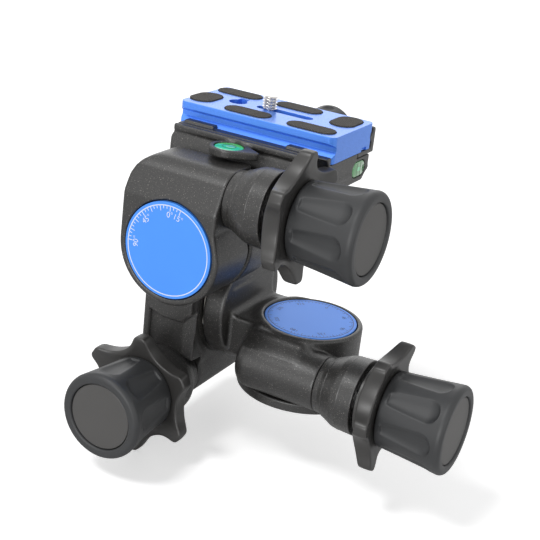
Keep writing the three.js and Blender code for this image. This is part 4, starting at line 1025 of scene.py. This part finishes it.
def roundLevel():
    s = {"ring": 2.7, "ringWidth": 0.22, "ringRise": 0.04, "bubble": 2.1, "bubbleRise": 0.12,
         "drift": (0.6, 0.5)}
    base, top, radius = vial["top"] - vial["deep"] + 0.02, vial["top"] - 0.2, vial["radius"]
    profile = rounded([(0, base), (radius, base), (radius, top - 0.35, 0.3)], closed=False)
    for a in np.linspace(0.1, math.pi / 2, 10):
        profile.append((radius * math.cos(a), top - 0.3 + 0.3 * math.sin(a)))
    at = shift(*vial["at"])
    standIn("round_level", moved(lathe(profile, 96), at), "fluid", "roll_stage", 50)
    face = top + 0.01
    line = lathe(rect(s["ring"], s["ring"] + s["ringWidth"], face, face + s["ringRise"]), 64, True)
    dress(addMesh("round_level_mark", moved(line, at)), "mark", "roll_stage")
    dome = [(0, face - 0.02)]
    for a in np.linspace(0, math.pi / 2, 8):
        dome.append((s["bubble"] * math.cos(a), face + s["bubbleRise"] * math.sin(a)))
    bubble = moved(lathe(dome, 48), at @ shift(*s["drift"]))
    dress(addMesh("round_level_bubble", bubble), "bubble", "roll_stage")


def tubeLevel():
    s = {"lineShift": 1.6, "lineHalf": 0.15, "lineReach": 2.8, "lineRise": 0.03, "bubble": (1.3, 0.9)}
    low, high = boxOf("tube_level")
    depth = high.x - low.x
    place = facing("x", "y", (low.x, endVial["y"], endVial["z"]))
    rings = []
    for inset, station in ((0, 0), (0, depth - 0.5), (0.1, depth - 0.2), (0.4, depth)):
        outline = stadium(endVial["halfLong"] - inset, endVial["halfHigh"] - inset, 16)
        rings.append([(x, y, station) for x, y in outline])
    standIn("tube_level", moved(loft(rings), place), "paleFluid", "roll_stage", 40)
    for k, shift in enumerate((-s["lineShift"], s["lineShift"])):
        bar = rect(shift - s["lineHalf"], shift + s["lineHalf"], -s["lineReach"], s["lineReach"])
        bar = extrude(bar, depth, depth + s["lineRise"])
        dress(addMesh("tube_level_line_" + str(k + 1), moved(bar, place)), "mark", "roll_stage")
    drop = extrude(stadium(*s["bubble"]), depth - 0.2, depth + 0.02)
    dress(addMesh("tube_level_bubble", moved(drop, place)), "bubble", "roll_stage")


clampBody()
clampJaw()
roundLevel()
tubeLevel()
print("clamp made")


# Camera plate

plate = {
    "x": -29.8, "y": 3.0, "top": 119.5, "bottom": 108.2, "halfLong": 37.25, "half": 19.5, "lip": 2.9,
    "groove": 16.5, "flare": 19.0, "corner": 3.0, "slotFrom": -10.0, "slotTo": 17.0, "slot": 2.5, "room": 6.0,
    "roomLonger": 3.4, "ceiling": 6.0, "key": (-19.3, -0.6), "keyRadius": 4.0, "keyTail": 6.4,
    "keyTailHalf": 2.0, "pinHole": 1.7, "pinDepth": 4.0, "pinIn": 4.0, "notch": (9, 14), "notchRise": 1.6,
    "easing": 0.30,
    "padRecess": 1.0, "padRise": 0.5, "padHalf": 4.7, "padWide": 5.6, "padPlay": 0.25,
}
pads = [
    {"at": (-32.2, -6.0), "length": 17.6, "across": True},
    {"at": (-7.45, -12.6), "length": 21.6, "across": False},
    {"at": (-26.0, 12.6), "length": 21.6, "across": False},
    {"at": (23.0, -12.6), "length": 22.0, "across": False},
    {"at": (4.0, 12.6), "length": 21.8, "across": False},
    {"at": (29.0, 8.4), "length": 18.6, "across": True},
]
plateAt = shift(plate["x"], plate["y"])


def padOutline(pad, play=0.0):
    shape = stadium(pad["length"] / 2 + play, plate["padWide" if pad["across"] else "padHalf"] + play, 10)
    return [(-y, x) for x, y in shape] if pad["across"] else shape


def cameraPlate():
    s = plate
    top, bottom, under, above = s["top"], s["bottom"], s["bottom"] - 1, s["top"] + 1
    half = [
        (s["half"], top, 0.4), (s["half"], top - s["lip"], 0.3), (s["groove"], top - s["lip"] - 1.6, 0.3),
        (s["groove"], top - 6.5, 0.3), (s["flare"], top - 9.0, 0.2), (s["flare"], bottom, 0.3),
    ]
    section = rounded(half + [(-p[0], *p[1:]) for p in reversed(half)], steps=3)
    bar = loft([[(x, y, z) for y, z in section] for x in (-s["halfLong"], s["halfLong"])])
    piece = addMesh("camera_plate_look", moved(bar, plateAt))
    end = s["halfLong"] - 0.01
    corners = rounded([(*p, s["corner"]) for p in rect(-end, end, -s["half"], s["half"])], steps=8)
    carve(piece, [moved(extrude(corners, under, above), plateAt)], "INTERSECT")
    tools = []
    for pad in pads:
        seat = extrude(padOutline(pad, s["padPlay"]), top - s["padRecess"], above)
        tools.append(moved(seat, plateAt @ shift(*pad["at"])))
    middle, reach = (s["slotFrom"] + s["slotTo"]) / 2, (s["slotTo"] - s["slotFrom"]) / 2
    slotAt = plateAt @ shift(middle, 0)
    tools.append(moved(extrude(stadium(reach, s["slot"]), under, above), slotAt))
    room = extrude(stadium(reach + s["roomLonger"], s["room"]), under, top - s["ceiling"])
    tools.append(moved(room, slotAt))
    x, y = s["key"]
    keyhole = circle(s["keyRadius"], np.linspace(math.radians(126), math.radians(414), 24), s["key"])
    keyhole += [(x + s["keyTailHalf"], y + s["keyTail"]), (x - s["keyTailHalf"], y + s["keyTail"])]
    tools.append(moved(extrude(keyhole, under, above), plateAt))
    for way in (-1, 1):
        hole = lathe(rect(0, s["pinHole"], under, bottom + s["pinDepth"]), 24)
        tools.append(moved(hole, plateAt @ shift(way * (s["halfLong"] - s["pinIn"]), 4)))
        edge = way * s["halfLong"]
        notch = extrude(rect(edge - 1, edge + 1, *s["notch"]), under, bottom + s["notchRise"])
        tools.append(moved(notch, plateAt))
    carve(piece, tools)
    ease(piece, s["easing"])
    dress(piece, "plate", "camera_plate", ["camera_plate"], 25)


def cameraPads():
    s = {"pitch": 1.1, "toothX": 0.032, "toothY": 0.32 / 4.5, "topX": 0.97, "topY": 0.95}
    top, face = plate["top"], plate["top"] + plate["padRise"]
    for k, pad in enumerate(pads):
        fine = []
        outline = padOutline(pad)
        for (ax, ay), (bx, by) in zip(outline, outline[1:] + outline[:1]):
            steps = max(1, round(math.hypot(bx - ax, by - ay) / (s["pitch"] / 2)))
            fine += [(ax + (bx - ax) * i / steps, ay + (by - ay) * i / steps) for i in range(steps)]
        toothed = []
        for i, (x, y) in enumerate(fine):
            toothed.append((x * (1 - i % 2 * s["toothX"]), y * (1 - i % 2 * s["toothY"])))
        levels = ((fine, top - plate["padRecess"] + 0.3), (fine, top + 0.1), (toothed, face - 0.02),
                  ([(x * s["topX"], y * s["topY"]) for x, y in toothed], face))
        rings = [[(x, y, z) for x, y in outline] for outline, z in levels]
        shape = moved(loft(rings), plateAt @ shift(*pad["at"]))
        standIn("pad_" + str(k + 1), shape, "pad", "camera_plate", 30)


def cameraScrew():
    s = {"major": 3.17, "minor": 2.42, "pitch": 1.27, "steps": 72, "neck": 2.2, "head": 5.2, "headHeight": 2.4,
         "headEdge": 0.4, "edge": 0.7, "socket": 1.0, "socketDepth": 1.4}
    low, high = boxOf("camera_screw")
    x, y = (low.x + high.x) / 2, (low.y + high.y) / 2
    threadFrom, top, headTop = plate["top"] + 0.2, high.z, low.z + s["headHeight"]

    def radiusAt(rise, z):
        height = min(1, max(0, 1.35 * rise - 0.15))
        taper = max(0, z - (top - s["edge"]))
        return min(s["minor"] + (s["major"] - s["minor"]) * height, s["major"] - taper)

    angles = fullTurn(s["steps"])
    head = ((s["socket"], low.z + s["socketDepth"]), (s["socket"], low.z), (s["head"] - s["headEdge"], low.z),
            (s["head"], low.z + s["headEdge"]), (s["head"], headTop), (s["neck"], headTop),
            (s["neck"], threadFrom))
    rings = [ringAt(radius, z, angles) for radius, z in head]
    stations = np.arange(threadFrom + 0.02, top - s["edge"] * 0.3, s["pitch"] / 14)
    rings += threadRings(s, stations, 1, radiusAt)
    rings += [ringAt(s["minor"] - 0.3, top, angles), ringAt(s["minor"] - 0.9, top - 0.15, angles)]
    standIn("camera_screw", moved(loft(rings), shift(x, y)), "steel", "camera_screw", 24)


cameraPlate()
cameraPads()
cameraScrew()
print("camera plate made")


# Finishes of the CAD nodes that stay

for name, node in frame["nodes"].items():
    if not node.hide_render:
        smooth(node.data, slotFinish.get(slots[name], slots[name]), 32)
print("remaining nodes dressed")


# Studio

def studio():
    s = {"floorZ": -31.6, "size": 9000.0, "floor": grey(0.97), "floorPale": grey(0.98), "world": 0.30,
         "paper": 0.46}
    size, z = s["size"], s["floorZ"]
    floor = addMesh("floor", ([(x, y, z) for x, y in rect(-size, size, -size, size)], [(0, 1, 2, 3)]))
    ground = Finish("floorPaper", {"Specular IOR Level": 0.1, "Emission Strength": s["paper"]})
    ground.feed("Base Color", ground.blend(ground.noise(60.0), s["floor"], s["floorPale"]))
    ground.feed("Roughness", 0.85 + 0.1 * ground.noise(3.0))
    ground.feed("Emission Color", ground.node("LightPath", {}, {}, "Is Camera Ray"))
    floor.data.materials.append(ground.material)
    world = bpy.data.worlds.new("studioWorld")
    world.use_nodes = True
    bpy.context.scene.world = world
    tree = world.node_tree
    back = tree.nodes["Background"]
    back.inputs["Color"].default_value = (1, 1, 1, 1)
    path = tree.nodes.new("ShaderNodeLightPath")
    rays = [Wire(tree, path.outputs["Is " + kind + " Ray"]) for kind in ("Camera", "Glossy", "Transmission")]
    seen, glossy, through = rays
    shown = seen.combine("MAXIMUM", seen, glossy.combine("MAXIMUM", glossy, through))
    tree.links.new((s["world"] + (1 - s["world"]) * shown).socket, back.inputs["Strength"])
    lamps = {
        "keyLamp": {"from": (0.05, -0.95, 0.15), "spread": 30, "strength": 1.75},
        "highLamp": {"from": (-0.25, -0.50, 0.87), "spread": 14, "strength": 1.2},
        "sideLamp": {"from": (0.95, -0.20, 0.25), "spread": 50, "strength": 0.45},
        "rearLamp": {"from": (-0.45, 0.80, 0.38), "spread": 50, "strength": 0.50},
    }
    for name, lamp in lamps.items():
        data = bpy.data.lights.new(name, "SUN")
        data.angle = math.radians(lamp["spread"])
        data.energy = lamp["strength"]
        light = bpy.data.objects.new(name, data)
        light.rotation_euler = (-Vector(lamp["from"])).to_track_quat("-Z", "Y").to_euler()
        bpy.context.scene.collection.objects.link(light)


def camera():
    s = {"at": (194.4465, -430.2711, 241.0271), "right": (0.86674, 0.48667, 0.10911), "lens": 77.54,
         "down": (0.27089, -0.27568, -0.92229), "forward": (-0.41878, 0.82894, -0.37078), "sensor": 36.0}
    data = bpy.data.cameras.new("photoCamera")
    data.lens = s["lens"]
    data.sensor_width = s["sensor"]
    data.clip_start = 0.01
    data.clip_end = 50
    view = bpy.data.objects.new("photoCamera", data)
    turn = Matrix((Vector(s["right"]), -Vector(s["down"]), -Vector(s["forward"]))).transposed()
    view.matrix_world = Matrix.Translation(Vector(s["at"]) * mm) @ turn.to_4x4()
    bpy.context.scene.collection.objects.link(view)
    bpy.context.scene.camera = view


studio()
camera()
bpy.context.scene.view_settings.view_transform = "Standard"
print("studio made")
